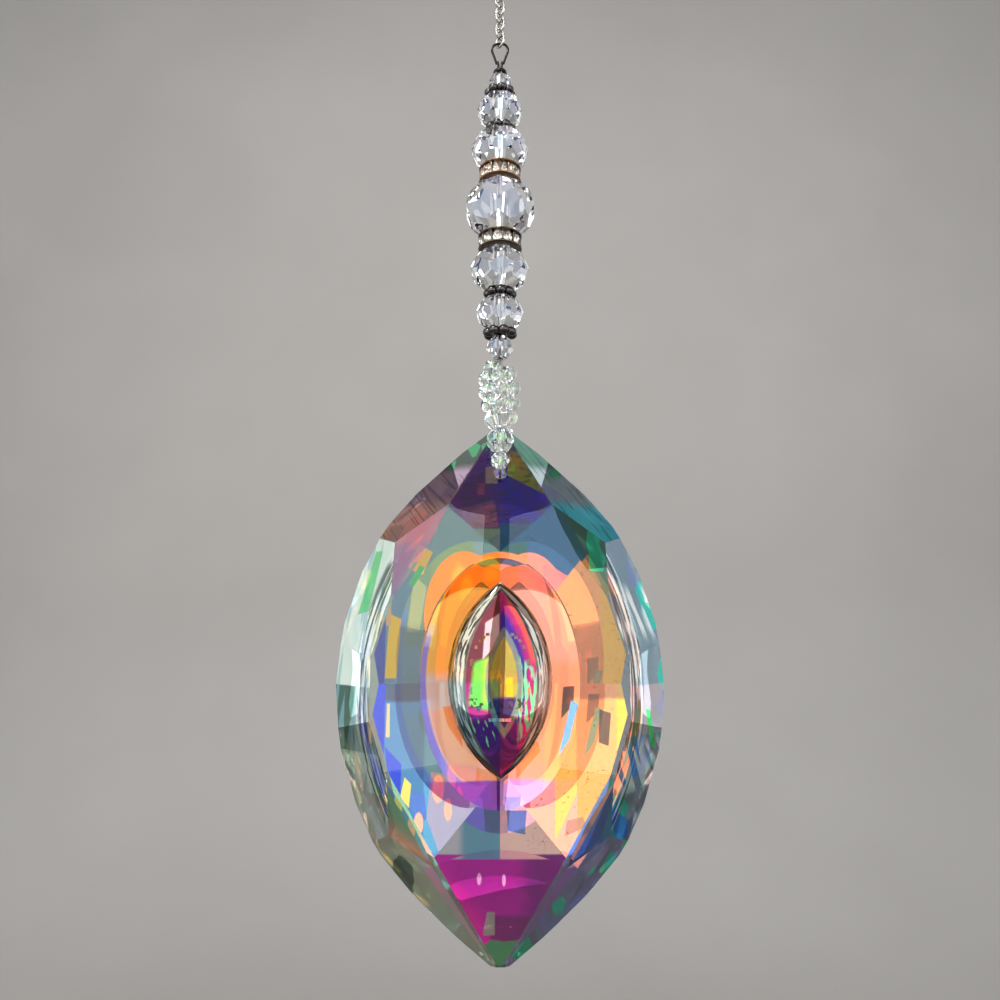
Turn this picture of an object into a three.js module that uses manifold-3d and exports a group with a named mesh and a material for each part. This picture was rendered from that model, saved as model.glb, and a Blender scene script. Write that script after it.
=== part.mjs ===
// Crystal suncatcher: a faceted eye-cut marquise crystal on a beaded wire, hung from a round-link chain.
// Millimetres, +Z up. Origin: where the top link of the chain bears on whatever holds it. The crystal faces -Y.
import * as THREE from 'three';
import { mergeVertices } from 'three/addons/utils/BufferGeometryUtils.js';
import Module from 'manifold-3d';

// ---- chain -------------------------------------------------------------
const LINK_OUTER = 2.5;          // outside diameter of a round link
const LINK_WIRE = 0.5;           // wire of a link
const LINK_SIDES = 6;            // flats round a link
const LINK_COUNT = 62;
const LINK_BITE = 0.05;          // how far a link beds into the next where they bear
const CHAIN_TURN = 45;           // turn of the first link about the vertical, degrees

// ---- beading wire ------------------------------------------------------
const WIRE = 0.44;               // diameter of the beading wire
const WIRE_SIDES = 5;
const WIRE_APART = 0.25;         // each of the two strands from the axis
const EYE_HEIGHT = 5.4;          // wire eye above the crimp, to the wire's centre
const EYE_HALF = 1.45;           // widest half width of the eye
const CRIMP_D = 2.4;
const CRIMP_H = 0.8;
const BORE = 1.25;               // bore of the strung beads
const GAP = 0.05;                // clearance between neighbours on the strand

// ---- strung beads: [name, kind, diameter, height] ------------------------
const DAISY_D = 6.0, DAISY_H = 1.25;
const RONDELLE_D = 7.5, RONDELLE_H = 2.7;
const STRAND = [
  ['bead_4mm_top', 'small', 4.1, 3.0],
  ['daisy_spacer_1', 'daisy', 5.6, DAISY_H],
  ['bead_8mm_upper', 'round', 8.1, 5.7],
  ['daisy_spacer_2', 'daisy', 5.6, DAISY_H],
  ['bead_10mm_upper', 'round', 10.1, 6.8],
  ['rondelle_upper', 'rondelle', RONDELLE_D - 0.1, RONDELLE_H],
  ['bead_12mm_centre', 'large', 12.1, 9.8],
  ['rondelle_lower', 'rondelle', RONDELLE_D + 0.1, RONDELLE_H],
  ['bead_10mm_lower', 'round', 10.1, 7.2],
  ['daisy_spacer_3', 'daisy', 5.8, DAISY_H],
  ['bead_8mm_lower', 'round', 8.1, 5.7],
  ['daisy_spacer_4', 'daisy', DAISY_D, DAISY_H],
  ['bead_5mm_bottom', 'small', 4.6, 3.7],
];

// ---- beaded loop through the crystal ------------------------------------
const LOOP_BORE = 0.95;
const LOOP_GAP = 0.27;
const LOOP_START = 1.8;         // bare wire before the first bead on each side
// each side of the loop from the top down: [name, kind, diameter, height]
const LOOP_SIDE = [
  ['rondelle_1', 'disc', 3.3, 2.3], ['rondelle_2', 'disc', 3.7, 2.15],
  ['rondelle_3', 'disc', 3.8, 2.15], ['rondelle_4', 'disc', 3.8, 2.15],
  ['bicone', 'bicone', 4.7, 3.2], ['round', 'small', 4.5, 3.6], ['end', 'small', 3.0, 2.5],
];
const LOOP_HEIGHT = 20.5;        // strand end to the crystal's hole
const LOOP_TURN = -44;           // turn of the loop's plane at its top, degrees
const LOOP_BULGE = [             // [share of the height from the top, distance from the axis]
  [0, 0.25], [0.08, 1.4], [0.16, 2.5], [0.25, 3.3], [0.36, 4.0], [0.5, 4.6],
  [0.65, 5.05], [0.8, 5.4], [0.92, 5.5], [0.985, 5.2],
];

// ---- crystal -------------------------------------------------------------
const CRYSTAL_H = 82;            // tip to tip
const CRYSTAL_W = 51.2;          // across
const TIP_FLAT = 1.5;            // half width of the blunted tips
const GIRDLE = 0.6;              // half thickness of the rim at the tips
const DOME_DEPTH = 8.4;          // front of the crystal before the dish is ground in
const DOME_RX = 110, DOME_RZ = 160;   // curvature of the front dome, across and along
const BACK_DEPTH = 9.2;
const BACK_SLOPE_X = 0.165, BACK_SLOPE_Z = 0.105;   // fall of the four broad back facets
const TOP_CORNER = [8.3, 28.0];  // corner of the top main facet, on the dome
const LOW_CORNER = [9.8, 25.5];  // the same for the bottom main facet
const KITE_TIP = [16.7, 13.6];   // where the kite facets run out on the dome
const KITE_RIM = [17.4, 25.3];   // outline point of a kite facet
const SIDE_RIM = [24.3, 9.7];    // outline point between the side facets
const SIDE_TABLE = 19.6;         // half width of the dome between the side facets
const KITE_DEPTH = 2.9, TIP_DEPTH = 1.1, SIDE_DEPTH = 0.9;   // rim depth under each kind of facet
const DISH_X = 11.9, DISH_Z = 18.4, DISH_AT = 1.6;   // oval dish: half axes at the dome, centre height
const DISH_FLOOR = 5.0;          // depth of the dish floor
const DISH_CENTRE = 10.4;        // depth of the dish ellipsoid's centre
const EYE_W = 8.2, EYE_L = 14.7; // half width and half length of the raised pointed eye
const EYE_AT = 1.45;             // height of the eye's middle
const EYE_SUNK = 1.0, EYE_RISE = 2.9;   // how far it is let into the dish and stands above the dish's wall
const HOLE_Z = 33.4, HOLE_D = 1.9;
const CURVE_X = 48, CURVE_Y = 16;     // divisions of the dish
const EYE_ROWS = 14, EYE_COLS = 8;

const wasm = await Module();
wasm.setup();
const rad = THREE.MathUtils.degToRad;

function toManifold(geometry) {
  const g = geometry.clone();
  g.deleteAttribute('normal');
  g.deleteAttribute('uv');
  const m = mergeVertices(g, 1e-4);
  return new wasm.Manifold(new wasm.Mesh({
    numProp: 3,
    vertProperties: new Float32Array(m.attributes.position.array),
    triVerts: new Uint32Array(m.index.array),
  }));
}

function fromManifold(manifold) {
  const mesh = manifold.getMesh();
  const g = new THREE.BufferGeometry();
  const n = mesh.vertProperties.length / mesh.numProp;
  const p = new Float32Array(n * 3);
  for (let i = 0; i < n; i++) for (let k = 0; k < 3; k++) p[i * 3 + k] = mesh.vertProperties[i * mesh.numProp + k];
  g.setAttribute('position', new THREE.BufferAttribute(p, 3));
  g.setIndex(Array.from(mesh.triVerts));
  g.computeVertexNormals();
  return g;
}

// A closed solid from rings of points; every ring has the same count and each is joined to the next.
function skin(rings, closed) {
  const n = rings[0].length;
  const pos = [];
  const idx = [];
  for (const ring of rings) for (const p of ring) pos.push(p.x, p.y, p.z);
  const last = closed ? rings.length : rings.length - 1;
  for (let r = 0; r < last; r++) {
    const s = (r + 1) % rings.length;
    for (let i = 0; i < n; i++) {
      const j = (i + 1) % n;
      idx.push(r * n + i, r * n + j, s * n + j, r * n + i, s * n + j, s * n + i);
    }
  }
  if (!closed) {
    for (let i = 1; i < n - 1; i++) {
      idx.push(0, i + 1, i);
      const b = (rings.length - 1) * n;
      idx.push(b, b + i, b + i + 1);
    }
  }
  const g = new THREE.BufferGeometry();
  g.setAttribute('position', new THREE.Float32BufferAttribute(pos, 3));
  g.setIndex(idx);
  g.computeVertexNormals();
  return g;
}

// The solid inside a set of planes {n, d}: points p with n.p <= d.
function solidFromPlanes(planes) {
  const corners = [];
  const tol = 1e-6;
  for (let a = 0; a < planes.length; a++) {
    for (let b = a + 1; b < planes.length; b++) {
      for (let c = b + 1; c < planes.length; c++) {
        const A = planes[a], B = planes[b], C = planes[c];
        const bc = new THREE.Vector3().crossVectors(B.n, C.n);
        const det = A.n.dot(bc);
        if (Math.abs(det) < 1e-9) continue;
        const p = bc.multiplyScalar(A.d)
          .addScaledVector(new THREE.Vector3().crossVectors(C.n, A.n), B.d)
          .addScaledVector(new THREE.Vector3().crossVectors(A.n, B.n), C.d)
          .divideScalar(det);
        if (planes.some((q) => q.n.dot(p) > q.d + tol)) continue;
        if (!corners.some((q) => q.distanceTo(p) < 1e-4)) corners.push(p);
      }
    }
  }
  const pos = [];
  const idx = [];
  for (const p of corners) pos.push(p.x, p.y, p.z);
  for (const q of planes) {
    const on = corners.map((p, i) => i).filter((i) => Math.abs(q.n.dot(corners[i]) - q.d) < 1e-4);
    if (on.length < 3) continue;
    const mid = new THREE.Vector3();
    for (const i of on) mid.addScaledVector(corners[i], 1 / on.length);
    const u = new THREE.Vector3().subVectors(corners[on[0]], mid).normalize();
    const v = new THREE.Vector3().crossVectors(q.n, u);
    const turn = (i) => {
      const w = new THREE.Vector3().subVectors(corners[i], mid);
      return Math.atan2(w.dot(v), w.dot(u));
    };
    on.sort((i, j) => turn(i) - turn(j));
    for (let k = 1; k < on.length - 1; k++) idx.push(on[0], on[k], on[k + 1]);
  }
  const g = new THREE.BufferGeometry();
  g.setAttribute('position', new THREE.Float32BufferAttribute(pos, 3));
  g.setIndex(idx);
  g.computeVertexNormals();
  return g;
}

// A cut bead about the Z axis: rows of flat facets and two flat ends, drilled through.
const CUTS = {
  // rows: [slope of the facet's normal from the axis in degrees, facets, share of a step it is turned, reach]
  round: [[38, 8, 0, 0.965], [68, 8, 0.5, 0.975], [112, 8, 0, 0.975], [142, 8, 0.5, 0.965]],
  large: [[36, 7, 0, 0.955], [69, 7, 0.5, 0.965], [111, 7, 0, 0.965], [144, 7, 0.5, 0.955]],
  small: [[52, 7, 0, 0.93], [90, 7, 0.5, 0.97], [128, 7, 0, 0.93]],
  disc: [[48, 6, 0, 0.9], [90, 6, 0.5, 0.97], [132, 6, 0, 0.9]],
  bicone: [[55, 6, 0, 1], [125, 6, 0, 1]],
};

function cutBead(kind, diameter, height, bore) {
  const R = diameter / 2;
  const planes = [
    { n: new THREE.Vector3(0, 0, 1), d: height / 2 },
    { n: new THREE.Vector3(0, 0, -1), d: height / 2 },
  ];
  // facets touch an oval of the bead's true half height and radius
  const flat = kind === 'bicone' ? 1 : Math.min(1, (height / diameter) * 1.18);
  for (const [slope, count, shift, reach] of CUTS[kind]) {
    for (let i = 0; i < count; i++) {
      const a = ((i + shift) / count) * Math.PI * 2;
      const s = rad(slope);
      const n = new THREE.Vector3(Math.sin(s) * Math.cos(a), Math.sin(s) * Math.sin(a), Math.cos(s));
      const d = kind === 'bicone'
        ? R * Math.sin(s) * Math.cos(Math.PI / count)
        : R * reach * Math.hypot(Math.sin(s), Math.cos(s) * flat);
      planes.push({ n, d });
    }
  }
  const cut = solidFromPlanes(planes);
  const p = cut.attributes.position;
  let widest = 0;
  for (let i = 0; i < p.count; i++) widest = Math.max(widest, Math.hypot(p.getX(i), p.getY(i)));
  cut.scale(R / widest, R / widest, 1);
  const drill = new THREE.CylinderGeometry(bore / 2, bore / 2, height * 2, 8);
  drill.rotateX(Math.PI / 2);
  return fromManifold(toManifold(cut).subtract(toManifold(drill)));
}

// Ring of round grains: a lobed outline with rounded rims, open in the middle.
function daisy(diameter, height, grains, bore) {
  const grain = diameter / 2 / (1 + 1 / Math.sin(Math.PI / grains)) ;
  const bevel = 0.38;
  const circle = diameter / 2 - grain;
  const shape = new THREE.Shape();
  const pts = [];
  for (let i = 0; i < grains; i++) {
    const a = (i / grains) * Math.PI * 2;
    for (const k of [-62, 0, 62]) {
      const b = a + rad(k);
      pts.push(new THREE.Vector2(
        circle * Math.cos(a) + (grain - bevel * 0.62) * Math.cos(b),
        circle * Math.sin(a) + (grain - bevel * 0.62) * Math.sin(b)));
    }
  }
  shape.setFromPoints(pts);
  const hole = new THREE.Path();
  hole.absarc(0, 0, bore / 2 + bevel * 0.4, 0, Math.PI * 2, true);
  shape.holes.push(hole);
  const g = new THREE.ExtrudeGeometry(shape, {
    depth: height - bevel * 2, steps: 1, curveSegments: 4,
    bevelEnabled: true, bevelThickness: bevel, bevelSize: bevel * 0.4, bevelSegments: 1,
  });
  g.translate(0, 0, -(height - bevel * 2) / 2);
  return mergeVertices(g.deleteAttribute('uv') && g, 1e-4);
}

// Metal of a rhinestone rondelle: two thin rims on a sleeve.
function rondelleMetal(diameter, height) {
  const R = diameter / 2, r = BORE / 2 + 0.1, rim = 0.5, sleeve = 1.9;
  const h = height / 2;
  const profile = [
    [r, -h], [R - 0.35, -h], [R, -h + 0.2], [R - 0.12, -h + rim], [sleeve, -h + rim],
    [sleeve, h - rim], [R - 0.12, h - rim], [R, h - 0.2], [R - 0.35, h], [r, h], [r, -h],
  ].map(([x, y]) => new THREE.Vector2(x, y));
  const g = new THREE.LatheGeometry(profile, 16);
  g.rotateX(Math.PI / 2);
  return g;
}

// Its stones: a band of square-cut stones standing edge to edge round the sleeve.
function stoneBand(diameter, height, count) {
  const inner = 2.05, base = diameter / 2 - 0.55, table = diameter / 2 - 0.05;
  const h = height / 2 - 0.5 - 0.03;
  const pos = [], idx = [];
  const put = (r, a, z) => pos.push(r * Math.cos(a), r * Math.sin(a), z) / 3 - 1;
  const rings = [];
  for (let i = 0; i < count; i++) {
    const a = (i / count) * Math.PI * 2;
    rings.push([put(inner, a, -h), put(inner, a, h), put(base, a, -h), put(base, a, h)]);
  }
  const step = (Math.PI * 2) / count;
  const quad = (a, b, c, d) => idx.push(a, b, c, a, c, d);
  for (let i = 0; i < count; i++) {
    const [iL, iH, oL, oH] = rings[i];
    const [jL, jH, pL, pH] = rings[(i + 1) % count];
    quad(iH, oH, pH, jH);
    quad(iL, jL, pL, oL);
    quad(iL, iH, jH, jL);
    const a0 = (i + 0.24) * step, a1 = (i + 0.76) * step;
    const tr = table;
    const A = put(tr, a0, -h * 0.5), B = put(tr, a1, -h * 0.5), C = put(tr, a1, h * 0.5), D = put(tr, a0, h * 0.5);
    quad(A, B, C, D);
    quad(oL, pL, B, A);
    quad(pL, pH, C, B);
    quad(pH, oH, D, C);
    quad(oH, oL, A, D);
  }
  const g = new THREE.BufferGeometry();
  g.setAttribute('position', new THREE.Float32BufferAttribute(pos, 3));
  g.setIndex(idx);
  g.computeVertexNormals();
  return g;
}

// One round link with flats, its ring in the XZ plane.
function linkGeometry() {
  const outer = LINK_OUTER / 2, inner = outer - LINK_WIRE;
  const k = Math.cos(Math.PI / LINK_SIDES);
  const rings = [];
  for (let i = 0; i < LINK_SIDES; i++) {
    const a = ((i + 0.5) / LINK_SIDES) * Math.PI * 2 + Math.PI / 2;
    const at = (r, y) => new THREE.Vector3((r / k) * Math.cos(a), y, (r / k) * Math.sin(a));
    const w = LINK_WIRE / 2;
    rings.push([at(inner, -w), at(outer, -w), at(outer, w), at(inner, w)]);
  }
  return skin(rings, true);
}

// A round tube of WIRE_SIDES sides along a closed list of points.
function wireLoop(points, radius) {
  const n = points.length;
  const tangents = points.map((p, i) => new THREE.Vector3()
    .subVectors(points[(i + 1) % n], points[(i + n - 1) % n]).normalize());
  let normal = new THREE.Vector3(0, 1, 0);
  const frames = [];
  for (let i = 0; i < n; i++) {
    normal = normal.clone().addScaledVector(tangents[i], -normal.dot(tangents[i])).normalize();
    frames.push(normal);
  }
  // the frame's drift round the loop is spread evenly along it
  const back = frames[n - 1].clone().addScaledVector(tangents[0], -frames[n - 1].dot(tangents[0])).normalize();
  const side = new THREE.Vector3().crossVectors(tangents[0], frames[0]);
  const drift = Math.atan2(back.dot(side), back.dot(frames[0]));
  const step = (Math.PI * 2) / WIRE_SIDES;
  const spread = drift - Math.round(drift / step) * step;
  const shift = Math.round(drift / step);
  const rings = points.map((p, i) => {
    const t = tangents[i];
    const u = frames[i].clone().applyAxisAngle(t, -spread * (i / n));
    const v = new THREE.Vector3().crossVectors(t, u);
    const ring = [];
    for (let k = 0; k < WIRE_SIDES; k++) {
      const a = k * step;
      ring.push(p.clone().addScaledVector(u, radius * Math.cos(a)).addScaledVector(v, radius * Math.sin(a)));
    }
    return ring;
  });
  // close on the corner that the last frame lines up with
  const g = skin(rings, false);
  const idx = Array.from(g.index.array).slice(0, (n - 1) * WIRE_SIDES * 6);
  for (let i = 0; i < WIRE_SIDES; i++) {
    const j = (i + 1) % WIRE_SIDES;
    const a = (n - 1) * WIRE_SIDES + i, b = (n - 1) * WIRE_SIDES + j;
    const c = (j + shift + WIRE_SIDES * 4) % WIRE_SIDES, d = (i + shift + WIRE_SIDES * 4) % WIRE_SIDES;
    idx.push(a, b, c, a, c, d);
  }
  g.setIndex(idx);
  g.computeVertexNormals();
  return g;
}

const group = new THREE.Group();
const METALS = {
  silver: { color: 0xb9b6ae, roughness: 0.28, metalness: 1 },
  dark: { color: 0x3c3936, roughness: 0.35, metalness: 1 },
  bronze: { color: 0x6a5238, roughness: 0.4, metalness: 1 },
  wire: { color: 0x2e2b29, roughness: 0.4, metalness: 1 },
};
function add(parent, name, geometry, look) {
  const mesh = new THREE.Mesh(geometry, new THREE.MeshStandardMaterial(look));
  mesh.name = name;
  parent.add(mesh);
  return mesh;
}
const CLEAR = { color: 0xe9eef0, roughness: 0.04, metalness: 0, transparent: true, opacity: 0.35 };
const CRYSTAL = { color: 0xa9b8cf, roughness: 0.03, metalness: 0, transparent: true, opacity: 0.4 };

// ---- chain: the links bear on one another all the way down ----------------
const linkInner = LINK_OUTER - LINK_WIRE * 2;
const linkPitch = linkInner + LINK_BITE;
{
  const one = linkGeometry();
  let chain = null;
  for (let i = 0; i < LINK_COUNT; i++) {
    const link = one.clone();
    link.rotateZ(rad(CHAIN_TURN + 90 * (i % 2)));
    link.translate(0, 0, -linkInner / 2 - linkPitch * i);
    const m = toManifold(link);
    chain = chain ? chain.add(m) : m;
  }
  add(group, 'chain', fromManifold(chain), METALS.silver);
}
const lastLink = -linkInner / 2 - linkPitch * (LINK_COUNT - 1);
const eyeTop = lastLink - linkInner / 2 + WIRE / 2 + 0.04;     // wire eye resting on the last link
const crimpTop = eyeTop - EYE_HEIGHT;

// ---- strand ---------------------------------------------------------------
let z = crimpTop;
{
  const crimp = new THREE.LatheGeometry([
    [0.62, -CRIMP_H / 2], [CRIMP_D / 2 - 0.2, -CRIMP_H / 2], [CRIMP_D / 2, -CRIMP_H / 2 + 0.25],
    [CRIMP_D / 2 - 0.1, CRIMP_H / 2 - 0.1], [CRIMP_D / 2 - 0.35, CRIMP_H / 2], [0.62, CRIMP_H / 2], [0.62, -CRIMP_H / 2],
  ].map(([x, y]) => new THREE.Vector2(x, y)), 12);
  crimp.rotateX(Math.PI / 2);
  add(group, 'crimp', crimp, METALS.wire).position.set(0, 0, z - CRIMP_H / 2);
  z -= CRIMP_H + GAP;
}
STRAND.forEach(([name, kind, diameter, height], i) => {
  const holder = new THREE.Group();
  holder.position.set(0, 0, z - height / 2);
  holder.rotation.z = rad(23 * i);
  group.add(holder);
  if (kind === 'daisy') {
    add(holder, name, daisy(diameter, height, 8, BORE + 0.15), METALS.dark);
  } else if (kind === 'rondelle') {
    add(holder, name + '_metal', rondelleMetal(diameter, height), METALS.bronze);
    add(holder, name + '_stones', stoneBand(diameter, height, 12), CLEAR);
  } else {
    add(holder, name, cutBead(kind, diameter, height, BORE), CLEAR);
  }
  z -= height + GAP;
});
const strandEnd = z + GAP;
const crystalZ = strandEnd - LOOP_HEIGHT - HOLE_Z;

// ---- beaded loop ------------------------------------------------------------
// distance of the loop's wire from the axis at a share s of the height
function bulge(s) {
  for (let i = 1; i < LOOP_BULGE.length; i++) {
    const [s0, r0] = LOOP_BULGE[i - 1], [s1, r1] = LOOP_BULGE[i];
    if (s <= s1) return r0 + (r1 - r0) * ((s - s0) / (s1 - s0));
  }
  return LOOP_BULGE[LOOP_BULGE.length - 1][1];
}
function loopPoint(s, side) {
  const turn = rad(LOOP_TURN) * (1 - THREE.MathUtils.smoothstep(s, 0.02, 0.75));
  const r = bulge(s) * side;
  return new THREE.Vector3(r * Math.sin(turn), -r * Math.cos(turn), strandEnd - s * LOOP_HEIGHT);
}
const SIDES = { front: 1, back: -1 };
for (const [where, side] of Object.entries(SIDES)) {
  const path = new THREE.CatmullRomCurve3(
    Array.from({ length: 41 }, (_, i) => loopPoint((i / 40) * 0.985, side)));
  const length = path.getLength();
  let at = LOOP_START;
  for (const [name, kind, diameter, height] of LOOP_SIDE) {
    const mid = path.getPointAt(Math.min(1, (at + height / 2) / length));
    const a = path.getPointAt(Math.max(0, at / length));
    const b = path.getPointAt(Math.min(1, (at + height) / length));
    const bead = add(group, `loop_${where}_${name}`, cutBead(kind, diameter, height, LOOP_BORE), CLEAR);
    bead.position.copy(a).add(b).multiplyScalar(0.5).lerp(mid, 0.5);
    bead.quaternion.setFromUnitVectors(new THREE.Vector3(0, 0, 1), a.clone().sub(b).normalize());
    at += height + LOOP_GAP;
  }
}

// ---- beading wire: one closed length, doubled through the strand -------------
{
  const pts = [];
  // eye above the crimp, from its left leg over the top to its right leg
  const eye = [[-WIRE_APART, 0], [-0.62, 0.27], [-1.05, 0.52], [-EYE_HALF, 0.76], [-1.18, 0.92], [-0.62, 0.99],
    [0.62, 0.99], [1.18, 0.92], [EYE_HALF, 0.76], [1.05, 0.52], [0.62, 0.27], [WIRE_APART, 0]];
  for (const [x, s] of eye) pts.push(new THREE.Vector3(x, 0, crimpTop + s * EYE_HEIGHT));
  // right strand down to the loop, front of the loop, the crystal's hole, back of the loop, left strand up
  const turn = rad(LOOP_TURN);
  const down = (side, s) => new THREE.Vector3(
    side * WIRE_APART * Math.sin(turn), -side * WIRE_APART * Math.cos(turn), crimpTop + (strandEnd - crimpTop) * s);
  const parts = 3;
  for (let i = 1; i < parts; i++) pts.push(down(1, i / parts).lerp(new THREE.Vector3(WIRE_APART, 0, down(1, i / parts).z), 1 - i / parts));
  const steps = 15;
  for (let i = 0; i <= steps; i++) pts.push(loopPoint((i / steps) * 0.985, 1));
  const holeZ = crystalZ + HOLE_Z;
  for (const y of [-3.6, -2.2, 0, 2.2, 3.6]) pts.push(new THREE.Vector3(0, y, holeZ - (Math.abs(y) < 3 ? 0.45 : 0.1)));
  for (let i = steps; i >= 0; i--) pts.push(loopPoint((i / steps) * 0.985, -1));
  for (let i = parts - 1; i >= 1; i--) pts.push(down(-1, i / parts).lerp(new THREE.Vector3(-WIRE_APART, 0, down(-1, i / parts).z), 1 - i / parts));
  add(group, 'beading_wire', wireLoop(pts, WIRE / 2), METALS.wire);
}

// ---- crystal ------------------------------------------------------------------
function domeDepth(x, zz) {
  return DOME_DEPTH - (x * x) / (2 * DOME_RX) - (zz * zz) / (2 * DOME_RZ);
}
// full half axes of the dish's ellipsoid, from its half axes where it meets the dome
const dishShare = (x, zz) => (DISH_CENTRE - domeDepth(x, zz)) / (DISH_CENTRE - DISH_FLOOR);
const DISH_AX = DISH_X / Math.sqrt(1 - dishShare(DISH_X, 0) ** 2);
const DISH_AZ = DISH_Z / Math.sqrt(1 - dishShare(0, DISH_Z) ** 2);
function dishDepth(x, zz) {
  const e = 1 - (x / DISH_AX) ** 2 - ((zz - DISH_AT) / DISH_AZ) ** 2;
  return DISH_CENTRE - (DISH_CENTRE - DISH_FLOOR) * Math.sqrt(Math.max(0, e));
}
// plane through three points whose normal points away from the crystal's middle
function facet(p, q, r) {
  const n = new THREE.Vector3().subVectors(q, p).cross(new THREE.Vector3().subVectors(r, p)).normalize();
  let d = n.dot(p);
  if (d < 0) { n.negate(); d = -d; }
  return { n, d };
}
function crystal() {
  const planes = [];
  const V = (x, y, zz) => new THREE.Vector3(x, y, zz);
  // outline: arcs of one radius either side, as straight runs between named points
  const h = CRYSTAL_H / 2, w = CRYSTAL_W / 2;
  const R = (h * h + w * w) / (2 * w);
  const half = (zz) => Math.sqrt(R * R - zz * zz) - (R - w);
  const rim = [];
  for (const zz of [0.5, SIDE_RIM[1], 17.8, KITE_RIM[1], 32.2, 37.6]) rim.push([half(zz) + (zz > 36 ? 0.3 : 0.2), zz]);
  rim.push([TIP_FLAT, h]);
  const wall = (a, b, sx, sz) => {
    const n = V((b[1] - a[1]) * sx, 0, (a[0] - b[0]) * sz).normalize();
    return { n, d: n.x * a[0] * sx + n.z * a[1] * sz };
  };
  for (const sx of [-1, 1]) {
    planes.push({ n: V(sx, 0, 0), d: rim[0][0] });
    for (const sz of [-1, 1]) for (let i = 1; i < rim.length; i++) planes.push(wall(rim[i - 1], rim[i], sx, sz));
  }
  for (const sz of [-1, 1]) planes.push({ n: V(0, 0, sz), d: h });
  const kiteX = half(KITE_RIM[1]) + 0.2;
  const sideX = half(SIDE_RIM[1]) + 0.2;
  for (const face of [-1, 1]) {
    // depth of the surface that the facets are cut from: the dome in front, the four broad facets behind
    const depth = (x, zz) => (face < 0 ? domeDepth(x, zz)
      : BACK_DEPTH - BACK_SLOPE_X * Math.abs(x) - BACK_SLOPE_Z * Math.abs(zz));
    const on = (x, zz, lift = 0) => V(x, face * (depth(x, zz) + lift), zz);
    for (const sz of [-1, 1]) {
      const corner = sz > 0 ? TOP_CORNER : LOW_CORNER;
      // main facet that runs to the tip
      planes.push(facet(on(corner[0], sz * corner[1]), on(-corner[0], sz * corner[1]), V(0, face * TIP_DEPTH, sz * h)));
      for (const sx of [-1, 1]) {
        // kite facet, from the main facet's corner to its point
        planes.push(facet(on(sx * corner[0], sz * corner[1]), on(sx * KITE_TIP[0], sz * KITE_TIP[1]),
          V(sx * kiteX, face * KITE_DEPTH, sz * KITE_RIM[1])));
        // narrow facet between the kite and the tip
        planes.push(facet(on(sx * corner[0], sz * corner[1]), V(sx * kiteX, face * 0.9, sz * KITE_RIM[1]),
          V(sx * TIP_FLAT, face * GIRDLE, sz * h)));
        // side facets
        planes.push(facet(on(sx * KITE_TIP[0], sz * KITE_TIP[1]), on(sx * (SIDE_TABLE - 0.75), sz * 6.8),
          V(sx * sideX, face * SIDE_DEPTH, sz * SIDE_RIM[1])));
      }
    }
    for (const sx of [-1, 1]) {
      planes.push(facet(on(sx * SIDE_TABLE, 5), on(sx * SIDE_TABLE, -5), V(sx * rim[0][0], face * SIDE_DEPTH, 0)));
    }
  }
  for (const sx of [-1, 1]) for (const sz of [-1, 1]) {
    const n = V(sx * BACK_SLOPE_X, 1, sz * BACK_SLOPE_Z).normalize();
    planes.push({ n, d: n.y * BACK_DEPTH });
  }
  planes.push({ n: V(0, -1, 0), d: DOME_DEPTH });
  let body = toManifold(solidFromPlanes(planes));

  // front dome: a closed slab whose front follows the dome's curves
  {
    const nx = 12, nz = 18, rows = [];
    const X = w + 3, Z = h + 3;
    const pos = [], idx = [];
    for (let j = 0; j <= nz; j++) for (let i = 0; i <= nx; i++) {
      const x = -X + (2 * X * i) / nx, zz = -Z + (2 * Z * j) / nz;
      pos.push(x, -domeDepth(x, zz), zz);
    }
    const m = nx + 1;
    for (let j = 0; j < nz; j++) for (let i = 0; i < nx; i++) {
      const a = j * m + i, b = a + 1, c = a + m, d = c + 1;
      idx.push(a, b, d, a, d, c);
    }
    const base = pos.length / 3;
    const edge = [];
    for (let i = 0; i < nx; i++) edge.push(i);
    for (let j = 0; j < nz; j++) edge.push(j * m + nx);
    for (let i = nx; i > 0; i--) edge.push(nz * m + i);
    for (let j = nz; j > 0; j--) edge.push(j * m);
    for (const e of edge) pos.push(pos[e * 3], BACK_DEPTH + 2, pos[e * 3 + 2]);
    pos.push(0, BACK_DEPTH + 2, 0);
    const hub = pos.length / 3 - 1;
    edge.forEach((e, k) => {
      const l = (k + 1) % edge.length;
      idx.push(e, base + k, base + l, e, base + l, edge[l]);
      idx.push(base + k, hub, base + l);
    });
    const g = new THREE.BufferGeometry();
    g.setAttribute('position', new THREE.Float32BufferAttribute(pos, 3));
    g.setIndex(idx);
    body = body.intersect(toManifold(g));
  }
  // oval dish ground into the dome
  {
    const dish = new THREE.SphereGeometry(1, CURVE_X, CURVE_Y);
    dish.rotateX(Math.PI / 2);
    dish.scale(DISH_AX, DISH_CENTRE - DISH_FLOOR, DISH_AZ);
    dish.translate(0, -DISH_CENTRE, DISH_AT);
    body = body.subtract(toManifold(dish));
  }
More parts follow.
